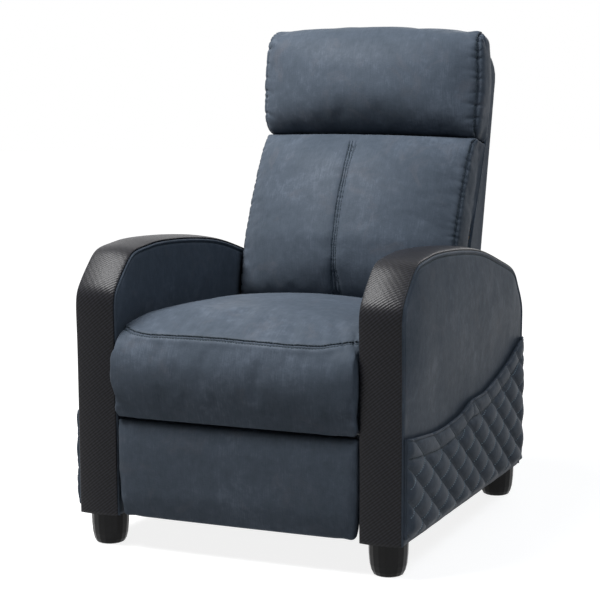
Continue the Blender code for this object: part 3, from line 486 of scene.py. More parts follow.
def arm_line(steps=8):
    points = [(share * ARM_DEPTH + DATUM, rise * ARM_RISE) for share, rise in ARM_SHARES]
    line = offset_line(smooth_line(points, steps), -STRAP_SINK)
    line[0].y = line[-1].y = 0
    return [Vector((point.x, point.y + ARM_LOW)) for point in line]


def eased(line, rounds):
    """A line with its small kinks ironed out; its two ends stay."""
    for _ in range(rounds):
        line = [line[0]] + [(a + 2 * b + c) / 4 for a, b, c in zip(line, line[1:], line[2:])] + [line[-1]]
    return line


ARM_LINE = eased(spaced(arm_line(), 0.006), 6)
low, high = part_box("arm_cover_left")
print("arm line", len(ARM_LINE), "points; depth", min(p.x for p in ARM_LINE), low.y,
      max(p.x for p in ARM_LINE), high.y, "top", max(p.y for p in ARM_LINE), high.z)

# %% [markdown]
# ## The pocket's outline
# On the outer side of each arm hangs a wide pocket. Its upper edge is drawn first, because the
# foam under the arm's leather is thinnest where the pocket lies against it.

# %% Draw the pocket's outline
POCKET_FRONT, POCKET_REAR = DATUM + 0.009, DATUM + ARM_DEPTH - 0.010
POCKET_LOW, POCKET_RISE = ARM_LOW + 0.011, 0.275
POCKET_BACK = ARM_OUTER + 0.006
HEM_WIDTH = 0.035
QUILT_HALF, QUILT_RISE = 0.045, 0.031
HEM_SHARES = (
    (0.00, 0.673), (0.09, 0.647), (0.24, 0.618), (0.41, 0.643), (0.50, 0.698),
    (0.63, 0.709), (0.82, 0.818), (0.95, 0.935), (1.00, 0.965),
)
HEM = spaced(smooth_line([(POCKET_FRONT + along * (POCKET_REAR - POCKET_FRONT),
                           POCKET_LOW + height * POCKET_RISE) for along, height in HEM_SHARES]), 0.0025)
HEM = eased(HEM, 20)
HEM_DEPTHS, HEM_HEIGHTS = [p.x for p in HEM], [p.y for p in HEM]


def below_hem(depth, height):
    """How far a place on the arm's side lies under the pocket's upper edge."""
    return float(np.interp(depth, HEM_DEPTHS, HEM_HEIGHTS)) - height


print("pocket hem", round(line_length(HEM), 3), "m")

# %% [markdown]
# ## The arm's leather
# Each side of an arm is a flat board under a layer of foam, with the leather drawn over it and
# sewn down along the strap. A flat face would look like painted wood. So the side is cut into a
# fine grid, and its points are moved: down at the sewn edge, up over the foam, with a shallow
# valley along the topstitching and a slow drift, so that no part of it is quite flat.

# %% Cut a side panel into a grid
GRID = 0.009
STITCH_INSET = 0.0086
INSETS = (0.0, 0.0010, 0.0022, 0.0034, 0.0046, 0.0060, 0.0075, 0.0090, 0.0110, 0.0140, 0.0200)


def side_panel(line):
    """The arm's side as one flat sheet at x 0: strips along the edge, and the field inside them."""
    chains = [offset_line(line, -inset) for inset in INSETS]
    for chain in chains:
        chain[0].y = chain[-1].y = ARM_LOW
    ends, last = len(line) - 1, len(INSETS) - 1
    bm = laid_grid(ends, last, lambda along, across: (
        0, *chains[round(across * last)][round(along * ends)]))
    inner = {tuple(round(value, 5) for value in point) for point in chains[-1]}
    field = [edge for edge in bm.edges if edge.is_boundary and all(
        (round(vert.co.y, 5), round(vert.co.z, 5)) in inner for vert in edge.verts)]
    bmesh.ops.contextual_create(bm, geom=field)
    for axis, start, end in ((1, -0.42, 0.40), (2, ARM_LOW, 0.62)):
        for step in range(1, int((end - start) / GRID)):
            normal = Vector((0, axis == 1, axis == 2))
            cut(bm, normal * (start + step * GRID), normal)
    return bm


# %% Shape the arm
def edge_tree(line):
    tree = KDTree(len(line))
    for i, point in enumerate(line):
        tree.insert((0, point.x, point.y), i)
    tree.balance()
    return tree


ARM_TREE = edge_tree(spaced(ARM_LINE, 0.002))


def ramp(value, start, end):
    """Rises smoothly from 0 at start to 1 at end."""
    share = min(1.0, max(0.0, (value - start) / (end - start)))
    return share * share * (3 - 2 * share)


def foam(outward, depth, height):
    """How thick the foam stands: less where the pocket, the seat or the back lies against it."""
    if outward > 0:
        return 0.0030 + 0.0085 * ramp(-below_hem(depth, height), 0.005, 0.170)
    return 0.0012 + 0.0050 * ramp(height, 0.43, 0.50) * ramp(depth, 0.08, -0.04)


def bulge(inset, depth, height, outward, seed):
    """How far the leather stands off the arm's side: inset is the distance from the strap."""
    roll = 0.0017 * math.exp(-((inset - 0.0042) / 0.0021) ** 2) - 0.0034 * max(0.0, 1 - inset / 0.0028) ** 2
    dome = 1 - max(0.0, 1 - inset / 0.110) ** 2
    full = foam(outward, depth, height) * dome
    full *= min(1.0, (height - ARM_LOW) / 0.03)
    valley = -0.0020 * math.exp(-((inset - STITCH_INSET) / 0.0020) ** 2)
    drift = noise.noise(Vector((depth * 9, height * 7, seed))) * 0.0014
    drift += noise.noise(Vector((depth * 24, height * 17, seed + 5))) * 0.0007
    return roll + full + valley + drift * min(1.0, inset / 0.03)


def arm_cover(side, word):
    bm = side_panel(ARM_LINE)
    grown = bmesh.ops.extrude_face_region(bm, geom=bm.faces[:], use_keep_orig=True)
    far = {item for item in grown["geom"] if isinstance(item, bmesh.types.BMVert)}
    for vert in bm.verts:
        outward = 1 if vert in far else -1
        inset = ARM_TREE.find(vert.co)[2]
        lift = bulge(inset, vert.co.y, vert.co.z, outward, outward + 3 * side)
        vert.co.x = side * ((ARM_OUTER if outward > 0 else ARM_INNER) + outward * lift)
    bmesh.ops.recalc_face_normals(bm, faces=bm.faces)
    return dress(piece(bm, "arm_leather_" + word, LEATHER), "faux_leather", "arm_cover_" + word)


ARM_COVERS = {word: arm_cover(side, word) for side, word in SIDES}
print("arm covers:", [len(made.data.polygons) for made in ARM_COVERS.values()])

# %% [markdown]
# ## The straps
# A strap is a strip of padded vinyl, thin where it is sewn to the leather and domed between. It is
# swept along the arm's outline. Its UV map is laid out in metres, so that the twill keeps its real
# size and climbs the strap the same way all round the arm.

# %% Sweep the straps
STRAP_HALF = (ARM_OUTER - ARM_INNER) / 2 - 0.0005
STRAP_SECTION = [(-1.0, 0.0003), (-1.0, 0.0012), (-0.985, 0.0020), (-0.95, 0.0026), (-0.86, 0.0034),
                 (-0.70, 0.0045), (-0.45, 0.0056), (-0.20, 0.0063), (0.0, 0.0065), (0.20, 0.0063),
                 (0.45, 0.0056), (0.70, 0.0045), (0.86, 0.0034), (0.95, 0.0026), (0.985, 0.0020),
                 (1.0, 0.0012), (1.0, 0.0003)]


def strap(side, word):
    middle = (ARM_INNER + ARM_OUTER) / 2
    section = [(side * (middle + share * STRAP_HALF), lift) for share, lift in STRAP_SECTION]
    widths = [side * share * STRAP_HALF for share, _ in STRAP_SECTION]
    bm = closed(swept(ARM_LINE, section, (widths, line_length(ARM_LINE))))
    return dress(piece(bm, "arm_strap_vinyl_" + word, VINYL), "strap_twill", "arm_strap_" + word)


STRAPS = {word: strap(side, word) for side, word in SIDES}
print("straps:", [len(made.data.polygons) for made in STRAPS.values()])

# %% [markdown]
# ## The cushions
# A cushion is foam and fibre in a sewn cover, and what makes it look soft is that the cover is
# held at its seams and swells between them. That is what Blender's cloth does well. Each cushion
# starts as a slightly smaller copy of its solid, remeshed into even squares. Cloth with a little
# spare length and air pressure inside swells it, while the points along the seams are held. How
# far any point moved is then capped, so that the cushion keeps its size.

# %% Swell a cushion
VOXEL = 0.006
FRAMES = 20


def beside_seams(points, normals, seams):
    """For each point: its distance from the nearest seam, which seam, how far along, how far aside."""
    tree = KDTree(sum(len(line) for line in seams))
    rows = []
    for which, line in enumerate(seams):
        along = 0.0
        for i, point in enumerate(line):
            along += (point - line[i - 1]).length if i else 0.0
            tree.insert(point, len(rows))
            rows.append((which, along, *point, *way_at(line, i)))
    tree.balance()
    near = np.array([rows[tree.find(point)[1]] for point in points])
    gap, way = points - near[:, 2:5], near[:, 5:8]
    ahead = (gap * way).sum(1)
    aside = (gap * np.cross(normals, way)).sum(1)
    beyond = np.maximum(0.0, np.abs(ahead) - 0.002)
    return np.hypot(aside, beyond), near[:, 0].astype(int), near[:, 1] + ahead, aside


def onto_cad(bm, node, depth, hold):
    """Puts the points of a remeshed copy back on its CAD node, a little inside where they are free."""
    tree = tree_of(cad_copy(node))
    bm.normal_update()
    for vert in bm.verts:
        spot = tree.find_nearest(vert.co)[0]
        vert.co = spot if hold(spot) else spot - vert.normal * depth


def swollen(node, name, seams, hold, cap, grow=0.012, pressure=4.0, smaller=0.0025, ironed=3):
    """The CAD node as a cushion: hold(point) says where the frame keeps the cloth in place."""
    made = piece(cad_copy(node), name, LEATHER)
    remesh = made.modifiers.new("squares", "REMESH")
    remesh.mode = "VOXEL"
    remesh.voxel_size = VOXEL
    applied(made)
    bm = bmesh_of(made)
    iron(bm, bm.verts, 3)
    onto_cad(bm, node, smaller, hold)
    iron(bm, [vert for vert in bm.verts if not hold(vert.co)], 4)
    give_back(bm, made)
    rest = points_of(made)
    far = beside_seams(rest, normals_of(made), seams)[0] if seams else np.full(len(rest), 1.0)
    group = made.vertex_groups.new(name="held")
    group.add([i for i, point in enumerate(rest) if far[i] < VOXEL * 0.6 or hold(point)], 1.0, "ADD")
    cloth = made.modifiers.new("cloth", "CLOTH")
    cloth.settings.quality = 4
    cloth.settings.mass = 0.25
    cloth.settings.tension_stiffness = cloth.settings.compression_stiffness = 12
    cloth.settings.bending_stiffness = 0.4
    cloth.settings.shrink_min = -grow
    cloth.settings.vertex_group_mass = "held"
    cloth.settings.use_pressure = True
    cloth.settings.uniform_pressure_force = pressure
    cloth.settings.effector_weights.gravity = 0
    cloth.collision_settings.use_collision = False
    cloth.point_cache.frame_start, cloth.point_cache.frame_end = 1, FRAMES
    for number in range(1, FRAMES + 1):
        bpy.context.scene.frame_set(number)
    applied(made)
    bpy.context.scene.frame_set(1)
    move = points_of(made) - rest
    reach = np.linalg.norm(move, axis=1)
    print(name, "points", len(rest), "moved up to", round(1000 * reach.max(), 1), "mm, mean",
          round(1000 * reach.mean(), 2))
    set_points(made, rest + move * np.minimum(1.0, cap / np.maximum(reach, 1e-9))[:, None])
    bm = bmesh_of(made)
    iron(bm, [vert for vert in bm.verts if not hold(vert.co)], ironed)
    give_back(bm, made)
    made.vertex_groups.clear()
    subdivide = made.modifiers.new("finer", "SUBSURF")
    subdivide.levels = subdivide.render_levels = 1
    applied(made)
    made.data.shade_smooth()
    return made


# %% [markdown]
# ## Seams and tucks
# Where two panels of a cover are sewn together, the thread pulls the leather down into a narrow
# valley, and the spare leather stands up in small tucks square to the seam. The tucks are never
# even, so each one gets its own place, reach and depth from a seeded list.

# %% Press the seams into a cushion
def seam_tucks(length, pitch, seed):
    """The places of the tucks along a seam, each with its reach, depth and lean."""
    dice = random.Random(seed)
    places, where = [], pitch * dice.uniform(0.3, 0.8)
    while where < length - pitch * 0.2:
        places.append((where, dice.uniform(0.55, 1.25), dice.uniform(0.35, 1.0), dice.uniform(-0.35, 0.35)))
        where += pitch * dice.uniform(0.55, 1.45)
    return places


def refined(made, seams, reach=0.010, cuts=2):
    """Cuts the faces beside the seams finer, so that a narrow groove has faces to lie in."""
    far = beside_seams(points_of(made), normals_of(made), seams)[0]
    bm = bmesh_of(made)
    near = [edge for edge in bm.edges if max(far[vert.index] for vert in edge.verts) < reach]
    bmesh.ops.subdivide_edges(bm, edges=near, cuts=cuts, use_grid_fill=True)
    return give_back(bm, made)


def press_seams(made, seams, depth=0.0030, width=0.0055, lines=(0.0,), groove=0.0014, pitch=0.026,
                reach=0.028, tuck=0.0022, swell=0.0012, seed=1, gathers=()):
    """Sinks each seam into the cushion, cuts its sewn lines and pleats the leather beside it.
    Gathers are tucks of their own, each with its place from the seam's start or, below 0, its end."""
    refined(made, seams)
    points, normals = points_of(made), normals_of(made)
    far, which, along, aside = beside_seams(points, normals, seams)
    sink = depth * np.exp(-(far / width) ** 2)
    for line in lines:
        sink += groove * np.exp(-((aside - line) / 0.0013) ** 2) * (far < 0.012)
    for number, line in enumerate(seams):
        length = line_length(line)
        own = [(length + where if where < 0 else where, *rest) for where, *rest in gathers]
        for where, long, deep, lean in seam_tucks(length, pitch, seed + number) + own:
            beside = (along - where - lean * far) / (0.0026 + 0.11 * far)
            fade = np.maximum(0.0, 1 - far / (reach * long)) ** 1.3
            sink += (which == number) * deep * tuck * np.exp(-beside ** 2) * fade
    sink -= swell * np.exp(-((far - reach * 0.4) / (reach * 0.35)) ** 2)
    set_points(made, points - normals * sink[:, None])
    return made


# %% [markdown]
# ## The seat cushion
# The seat is one cushion whose front rolls down over the frame. Its top and its roll are two
# panels, joined by a seam just behind the highest part of the roll, with a row of topstitching
# on each side. At the sides a plain seam joins the top to the side walls. In front of the straps
# nothing holds the roll in, so it spreads there, more on one side than on the other.

# %% Swell the seat cushion
def seam_on(node, points, step=0.003):
    """A smooth line through the points, dropped onto the surface of a CAD node."""
    tree = tree_of(cad_copy(node))
    return [tree.find_nearest(point)[0] for point in spaced(smooth_line(points), step)]


SEAT_FRONT = [(-0.2455, -0.352, 0.412), (-0.238, -0.371, 0.4275), (-0.210, -0.390, 0.4245),
              (-0.1775, -0.398, 0.4220), (-0.117, -0.402, 0.4230), (-0.058, -0.404, 0.4240),
              (0.0, -0.4052, 0.4238), (0.057, -0.4058, 0.4225), (0.112, -0.404, 0.4210),
              (0.165, -0.400, 0.4210), (0.197, -0.391, 0.4255), (0.221, -0.377, 0.4285),
              (0.235, -0.371, 0.4285), (0.2455, -0.352, 0.414)]
SEAT_SIDE = [(-0.348, 0.412), (-0.30, 0.425), (-0.22, 0.430), (-0.12, 0.428), (-0.02, 0.422),
             (0.06, 0.412), (0.12, 0.398), (0.155, 0.375)]
SEAT_SEAMS = [seam_on("seat_cushion", line) for line in (
    SEAT_FRONT, *([(side * 0.2440, *place) for place in SEAT_SIDE] for side, _ in SIDES))]
seat_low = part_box("seat_cushion")[0]
SEAT_BASE, STRAP_FRONT = 0.3262, -0.408


def seat_held(point):
    return (point[2] < SEAT_BASE + 0.008 and point[1] > -0.375 or point[1] > 0.15
            or point[2] < seat_low.z + 0.026)


SEAT = swollen("seat_cushion", "seat_cushion_leather", SEAT_SEAMS, seat_held, cap=0.0055,
               pressure=3.0)
press_seams(SEAT, SEAT_SEAMS[:1], depth=0.0010, width=0.0060, lines=(-0.0025, 0.0025), groove=0.0018,
            pitch=0.045, reach=0.022, tuck=0.0014, swell=0.0014, seed=3,
            gathers=((0.024, 1.6, 2.4, 0.3), (0.041, 1.2, 1.6, -0.2), (0.060, 1.0, 1.2, 0.1),
                     (-0.022, 1.8, 3.0, -0.3), (-0.036, 1.5, 2.2, 0.2), (-0.055, 1.2, 1.5, -0.1)))
press_seams(SEAT, SEAT_SEAMS[1:], depth=0.0030, width=0.0045, pitch=0.030, reach=0.022, tuck=0.0022,
            seed=8)
spots = points_of(SEAT)
past_straps = STRAP_FRONT - spots[:, 1]
spread = np.where(spots[:, 0] < 0, 0.0190, 0.0065)
widen(spots, spread * rising(past_straps, 0, 0.012) * rising(np.abs(spots[:, 0]), 0.19, 0.05))
room = ARM_INNER - 0.0012 + (spread + 0.0025) * rising(past_straps, 0, 0.008)
spots[:, 0] = np.clip(spots[:, 0], -room, room)
set_points(SEAT, spots)
dress(SEAT, "faux_leather", "seat_cushion")
print("seat cushion:", len(SEAT.data.polygons), "faces")

# %% [markdown]
# ## The lumbar cushion and the headrest
# The lumbar cushion is cut in two halves, felled together down the middle, so a flat-stitched
# channel runs from top to bottom. The headrest is one thick pillow with deep tucks at its sides.
# Both are measured up the chair's rear face and forwards from it. The lumbar cushion's rear rim is
# tucked into the shell behind it, so that no gap shows between the two.

# %% Swell the two back cushions
BACK_TILT = math.radians(13.5)
BACK_HEEL = (0.281065, 0.302)


def back_place(x, rise, forward):
    """A place on the tilted back, in the chair's own axes."""
    return Vector((x, BACK_HEEL[0] + rise * math.sin(BACK_TILT) - forward * math.cos(BACK_TILT),
                   BACK_HEEL[1] + rise * math.cos(BACK_TILT) + forward * math.sin(BACK_TILT)))


def back_axes(point):
    """The rise and the forward reach of a point on the tilted back."""
    depth, height = point[1] - BACK_HEEL[0], point[2] - BACK_HEEL[1]
    return (depth * math.sin(BACK_TILT) + height * math.cos(BACK_TILT),
            -depth * math.cos(BACK_TILT) + height * math.sin(BACK_TILT))


def side_seams(node, half, path):
    """A seam up each side of a cushion, through places given as (rise, forward)."""
    return [seam_on(node, [back_place(side * half, *place) for place in path]) for side, _ in SIDES]


BACK_HALF = 0.243
LUMBAR_MIDDLE = [(0.0, 0.20, 0.765), (0.0, 0.165, 0.70), (0.0, 0.131, 0.64), (0.0, 0.1096, 0.5787),
                 (0.0, 0.0946, 0.5174), (0.0, 0.0946, 0.4546), (0.0, 0.105, 0.41)]
LUMBAR_SEAMS = [seam_on("lumbar_cushion", LUMBAR_MIDDLE)] + side_seams("lumbar_cushion", BACK_HALF, (
    (0.085, 0.166), (0.150, 0.172), (0.222, 0.1705), (0.300, 0.158), (0.381, 0.136), (0.430, 0.118),
    (0.450, 0.104)))
HEAD_SEAMS = side_seams("headrest_cushion", BACK_HALF + 0.004, (
    (0.462, 0.100), (0.480, 0.112), (0.520, 0.121), (0.560, 0.126), (0.600, 0.133), (0.640, 0.137),
    (0.668, 0.132), (0.684, 0.112), (0.680, 0.085)))


def lumbar_held(point):
    rise, forward = back_axes(point)
    return forward < 0.062 + 0.02 * (rise < 0.2) or rise > 0.447


def head_held(point):
    return back_axes(point)[1] < 0.050


LUMBAR = swollen("lumbar_cushion", "lumbar_cushion_leather", LUMBAR_SEAMS[1:], lumbar_held, cap=0.008)
press_seams(LUMBAR, LUMBAR_SEAMS[:1], depth=0.0016, width=0.0120, lines=(-0.0055, 0.0, 0.0055),
            groove=0.0020, pitch=0.034, reach=0.024, tuck=0.0009, swell=0.0010, seed=21)
press_seams(LUMBAR, LUMBAR_SEAMS[1:], depth=0.0036, width=0.0045, pitch=0.017, reach=0.030,
            tuck=0.0028, seed=30)
rim = points_of(LUMBAR)
rise, forward = back_axes(rim.T)
wide = np.abs(rim[:, 0])
behind = 1 - rising(forward, np.interp(rise, (0.229, 0.454), (0.0764, 0.0338)), 0.012)
behind *= rising(wide, 0.226, 0.006)
widen(rim, np.maximum(0, 0.2437 - wide) * behind * (wide > 0.236))
rim -= 0.008 * behind[:, None] * np.array(back_place(0, 0, 1) - back_place(0, 0, 0))
set_points(LUMBAR, rim)
HEAD = swollen("headrest_cushion", "headrest_cushion_leather", HEAD_SEAMS, head_held, cap=0.010,
               ironed=8)
press_seams(HEAD, HEAD_SEAMS, depth=0.0045, width=0.0050, pitch=0.022, reach=0.038, tuck=0.0044,
            swell=0.0022, seed=41, gathers=((-0.050, 1.2, 1.5, 0.2), (-0.034, 1.0, 1.6, -0.2)))
ends = points_of(HEAD)
rises = np.array([back_axes(point)[0] for point in ends])
belly = np.exp(-((rises - 0.565) / 0.060) ** 2) * rising(np.abs(ends[:, 0]), 0.15, 0.09)
widen(ends, 0.0045 * belly)
set_points(HEAD, ends)
for made, node in ((LUMBAR, "lumbar_cushion"), (HEAD, "headrest_cushion")):
    dress(made, "faux_leather", node)
    print(made.name, len(made.data.polygons), "faces")

# %% [markdown]
# ## The footrest panel
# The footrest is a board with a thin foam pad under the leather, wrapped round its edges. There is
# no seam on its face, so it is only swollen a little. Its two lower corners are then pulled out
# again, where the leather is folded tight over the board.

# %% Swell the footrest panel
pad_low, pad_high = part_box("footrest_pad")


def pad_held(point):
    return (point[1] > pad_high.y - 0.012 or point[2] > pad_high.z - 0.007
            or point[2] < pad_low.z + 0.010)


FOOTREST = swollen("footrest_pad", "footrest_leather", [], pad_held, cap=0.0035, grow=0.006,
                   smaller=0.001)
corners = points_of(FOOTREST)
pulled = rising(np.abs(corners[:, 0]), 0.215, 0.030) * (1 - rising(corners[:, 2], 0.065, 0.030))
widen(corners, 0.0015 * pulled)
corners[:, 2] -= 0.0055 * pulled
set_points(FOOTREST, corners)
dress(FOOTREST, "faux_leather", "footrest_pad")
print("footrest:", len(FOOTREST.data.polygons), "faces")

# %% [markdown]
# ## The back shell
# The outside of the back is leather over a hollow frame: two side walls, a top and a rear face.
# Its solid already has that form, so the piece is that solid cut into a grid and softened: the
# leather dishes slightly between the edges that hold it.

# %% Soften the back shell
def grid_cut(bm, step, normals):
    """Cuts a closed bmesh by evenly spaced planes along each normal."""
    for normal in normals:
        reach = [vert.co.dot(normal) for vert in bm.verts]
        start, end = min(reach), max(reach)
        for i in range(1, int((end - start) / step) + 1):
            cut(bm, normal * (start + i * step), normal)


up_back = Vector((0, math.sin(BACK_TILT), math.cos(BACK_TILT)))
out_back = Vector((0, -math.cos(BACK_TILT), math.sin(BACK_TILT)))
bm = cad_copy("back_shell")
grid_cut(bm, 0.014, (Vector((1, 0, 0)), up_back, out_back))
shell_top = max(back_axes(vert.co)[0] for vert in bm.verts)
SHELL = piece(bm, "back_shell_leather", LEATHER)
SHELL.data.set_sharp_from_angle(angle=math.radians(35))
SHELL_SEAM = eased(spaced([back_place(x, rise, 0.0) for x, rise in (
    (-BACK_HALF + 0.026, 0.062), (-BACK_HALF + 0.026, shell_top - 0.034),
    (BACK_HALF - 0.026, shell_top - 0.034), (BACK_HALF - 0.026, 0.062))], 0.004), 12)
press_seams(SHELL, [SHELL_SEAM], depth=0.0012, width=0.0050, groove=0.0012, pitch=0.060, reach=0.030,
            tuck=0.0010, swell=0.0012, seed=60)
dress(SHELL, "faux_leather", "back_shell")
print("back shell:", len(SHELL.data.polygons), "faces")

# %% [markdown]
# ## The panel behind the seat
# The board that joins the two arms at the rear is covered in the same leather, pulled round its
# edges and stapled inside. So its edges are round, and the face swells a little between them.

# %% Cover the rear panel
bm = cad_copy("rear_panel")
bmesh.ops.dissolve_limit(bm, angle_limit=math.radians(3), verts=bm.verts, edges=bm.edges)
bmesh.ops.bevel(bm, geom=bm.edges[:], offset=0.005, affect="EDGES", segments=3, profile=0.5, material=-1)
grid_cut(bm, 0.012, (Vector((1, 0, 0)), Vector((0, 0, 1))))
panel_low, panel_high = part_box("rear_panel")
for vert in bm.verts:
    rim = min(vert.co.x - panel_low.x, panel_high.x - vert.co.x, vert.co.z - panel_low.z,
              panel_high.z - vert.co.z)
    if vert.co.y > panel_high.y - 0.001:
        ripple = noise.noise(Vector((vert.co.x * 11, 3, vert.co.z * 8))) * 0.0008
        vert.co.y += (0.0028 + ripple) * (1 - math.exp(-max(0.0, rim - 0.004) / 0.020))
REAR = piece(bm, "rear_panel_leather", LEATHER)
dress(REAR, "faux_leather", "rear_panel")
print("rear panel:", len(REAR.data.polygons), "faces")

# %% [markdown]
# ## The pockets
# The pocket's panel is quilted: foam between two layers, sewn through along two families of
# slanting lines, so that it stands up in diamonds. If the grid of the mesh ran level, the sewn
# lines would come out as steps. So the grid is laid along the two families themselves, twelve
# cells to a diamond, and then cut to the pocket's outline. A tack near the middle of the upper
# edge pulls the leather down to one point, and every crease ends at the rolled hem above it.

# %% Quilt the pocket
def quilt_place(a, b):
    """The place on the arm's side of a point given in diamonds; whole numbers are sewn lines."""
    a = a + 0.5
    b = b + 0.16 * a - 0.83
    return DATUM + (a + b) * QUILT_HALF, ARM_LOW + (a - b) * QUILT_RISE


TACK_DEPTH = -0.022
QUILT_GAP, QUILT_PUFF = 0.048, 0.0112


def pocket_lift(a, b, depth, under):
    """How far the pocket stands up. Under is how far below its upper edge a point lies."""
    far_a, far_b = (abs(v - round(v)) * QUILT_GAP for v in (a, b))
    seam = under - HEM_WIDTH
    if seam > 0:
        pillow = [0.55 * (1 - math.exp(-far / wide)) + 0.45 * (1 - (1 - 2 * far / QUILT_GAP) ** 2)
                  for far, wide in ((far_a, 0.0048), (far_b, 0.0050))]
        lift = QUILT_PUFF * pillow[0] * (0.66 + 0.34 * pillow[1])
        lift *= 1 - math.exp(-seam / 0.006)
    else:
        lip = max(0.0, min(1.0, under / 0.013))
        lift = 0.0022 + 0.0062 * (1 - math.exp(-far_a / 0.0060)) * (1 - math.exp(seam / 0.006))
        lift *= math.sqrt(lip * (2 - lip))
    gather = math.sin(depth * 520 + 2.4 * math.sin(depth * 71)) * math.exp(-(seam / 0.011) ** 2) * 0.0007
    along = math.sin(a * 31 + 1.7 * math.sin(a * 5)) * math.exp(-far_b / 0.009)
    along += math.sin(b * 31 + 1.7 * math.sin(b * 7)) * math.exp(-far_a / 0.009)
    tack = 0.0046 * math.exp(-((depth - TACK_DEPTH - 0.1 * under) / 0.0045) ** 2) * math.exp(-under / 0.03)
    return lift + gather + 0.0004 * along * min(1.0, min(far_a, far_b) / 0.0015) - min(tack, lift)


def pocket_panel(side, word):
    cells = 12
    columns, rows = 13, 14
    bm = bmesh.new()
    bmesh.ops.create_grid(bm, x_segments=columns * cells, y_segments=rows * cells, size=0.5)
    places = {}
    for vert in bm.verts:
        a, b = (vert.co.x + 0.5) * columns, (vert.co.y + 0.5) * rows - 4
        depth, height = quilt_place(a, b)
        places[vert] = (a, b, depth, height, below_hem(depth, height))
    outside = [vert for vert, (a, b, depth, height, under) in places.items() if not (
        POCKET_FRONT - 0.01 < depth < POCKET_REAR + 0.01 and height > POCKET_LOW - 0.01
        and under > -0.005)]
    for vert in bm.verts:
        a, b, depth, height, under = places[vert]
        lift = pocket_lift(a, b, depth, max(0.0, under))
        edge = min(depth - POCKET_FRONT, 0.5 * (POCKET_REAR - depth), height - POCKET_LOW)
        lift *= math.sqrt(min(1.0, max(0.0, edge) / 0.014))
        vert.co = (POCKET_BACK + 0.0015 + lift, depth, height + min(0.0, under))
    bmesh.ops.delete(bm, geom=outside, context="VERTS")
    for place, normal in (((0, POCKET_FRONT, 0), (0, -1, 0)), ((0, POCKET_REAR, 0), (0, 1, 0)),
                          ((0, 0, POCKET_LOW), (0, 0, -1))):
        cut(bm, place, normal, clear_outer=True)
    bmesh.ops.dissolve_degenerate(bm, edges=bm.edges, dist=1e-5)
    rims = [edge for edge in bm.edges if edge.is_boundary]
    grown = bmesh.ops.extrude_edge_only(bm, edges=rims)["geom"]
    for vert in [item for item in grown if isinstance(item, bmesh.types.BMVert)]:
        vert.co.x = POCKET_BACK
    bmesh.ops.contextual_create(bm, geom=[edge for edge in bm.edges if edge.is_boundary])
    made = piece(on_side(bm, side), "pocket_quilt_" + word, LEATHER)
    return dress(made, "faux_leather", "pocket_panel_" + word)


POCKETS = {word: pocket_panel(side, word) for side, word in SIDES}
print("pockets:", [len(made.data.polygons) for made in POCKETS.values()])


# %% Roll the pocket's upper edge
def crease_distance(depth, height):
    """How far a place lies from the nearest steep crease, in diamonds."""
    across = ((depth - DATUM) / QUILT_HALF + (height - ARM_LOW) / QUILT_RISE) / 2 - 0.5
    return abs(across - round(across))


def hem_roll(side, word):
    radius, middle = 0.0026, POCKET_BACK + 0.0052
    section = [(middle + radius * math.cos(turn), radius * math.sin(turn))
               for turn in [math.tau * i / 12 for i in range(13)]]
    bm = closed(swept(HEM[1:-1], section))
    for vert in bm.verts:
        pinch = math.exp(-(crease_distance(vert.co.y, vert.co.z) / 0.07) ** 2)
        pinch = max(pinch, math.exp(-((vert.co.y - TACK_DEPTH) / 0.006) ** 2))
        end = max(0.0, 1 - min(vert.co.y - POCKET_FRONT, POCKET_REAR - vert.co.y) / 0.022)
        vert.co.x -= 0.0022 * pinch + 0.0060 * end * end
        vert.co.z -= 0.0014 * pinch
    made = piece(on_side(bm, side), "pocket_hem_roll_" + word, LEATHER)
    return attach(made, "base")


for side, word in SIDES:
    hem_roll(side, word)
print("hems rolled")


# %% Sew the gusset that closes the pocket at its front, bottom and rear
def gusset(side, word):
    front, rear, low = POCKET_FRONT + 0.0005, POCKET_REAR - 0.0005, POCKET_LOW + 0.0005
    corner = [Vector((front, HEM[0].y)), Vector((front, low)), Vector((rear, low)),
              Vector((rear, HEM[-1].y))]
    line = eased(spaced(corner, 0.004), 4)
    wall = ((ARM_OUTER + 0.0003, 0.0), (ARM_OUTER + 0.002, -0.0012), (POCKET_BACK - 0.002, -0.0012),
            (POCKET_BACK + 0.0013, 0.0), (POCKET_BACK + 0.0013, 0.007), (ARM_OUTER + 0.0003, 0.007),
            (ARM_OUTER + 0.0003, 0.0))
    bm = closed(swept(line, [(side * x, lift) for x, lift in wall]))
    made = piece(bm, "pocket_gusset_leather_" + word, LEATHER)
    return dress(made, "faux_leather", "pocket_gusset_" + word)


for side, word in SIDES:
    gusset(side, word)
print("gussets sewn")

# %% [markdown]
# ## The thread
# Every seam is sewn with a heavy bonded thread in dark teal, and one family of the pockets'
# quilting in a pale grey, whose pale colour is painted highlight: it stands in for the light that the
# raised quilted edges catch. One stitch is a sphere of a few faces, drawn out to a spindle four to
# five millimetres long. Each is made at its own place and with its own turn, lying on the finished
# leather. They are made a handful at a time, because an operator takes longer the more its mesh
# already holds.

# %% Lay stitches along a seam
THREAD = plain_finish("bonded_nylon_thread_teal", "#101d22", "#1d3138", (900, 900, 900), 0.55, 0.4)
# The pale grey of this thread is painted highlight, standing in for the light on the raised quilted edges.
QUILT_THREAD_PAINTED_HIGHLIGHT = plain_finish("nylon_thread_grey_painted_highlight", "#667b87", "#8296a3", (900, 900, 900), 0.5, 0.4)
HANDFUL = 30


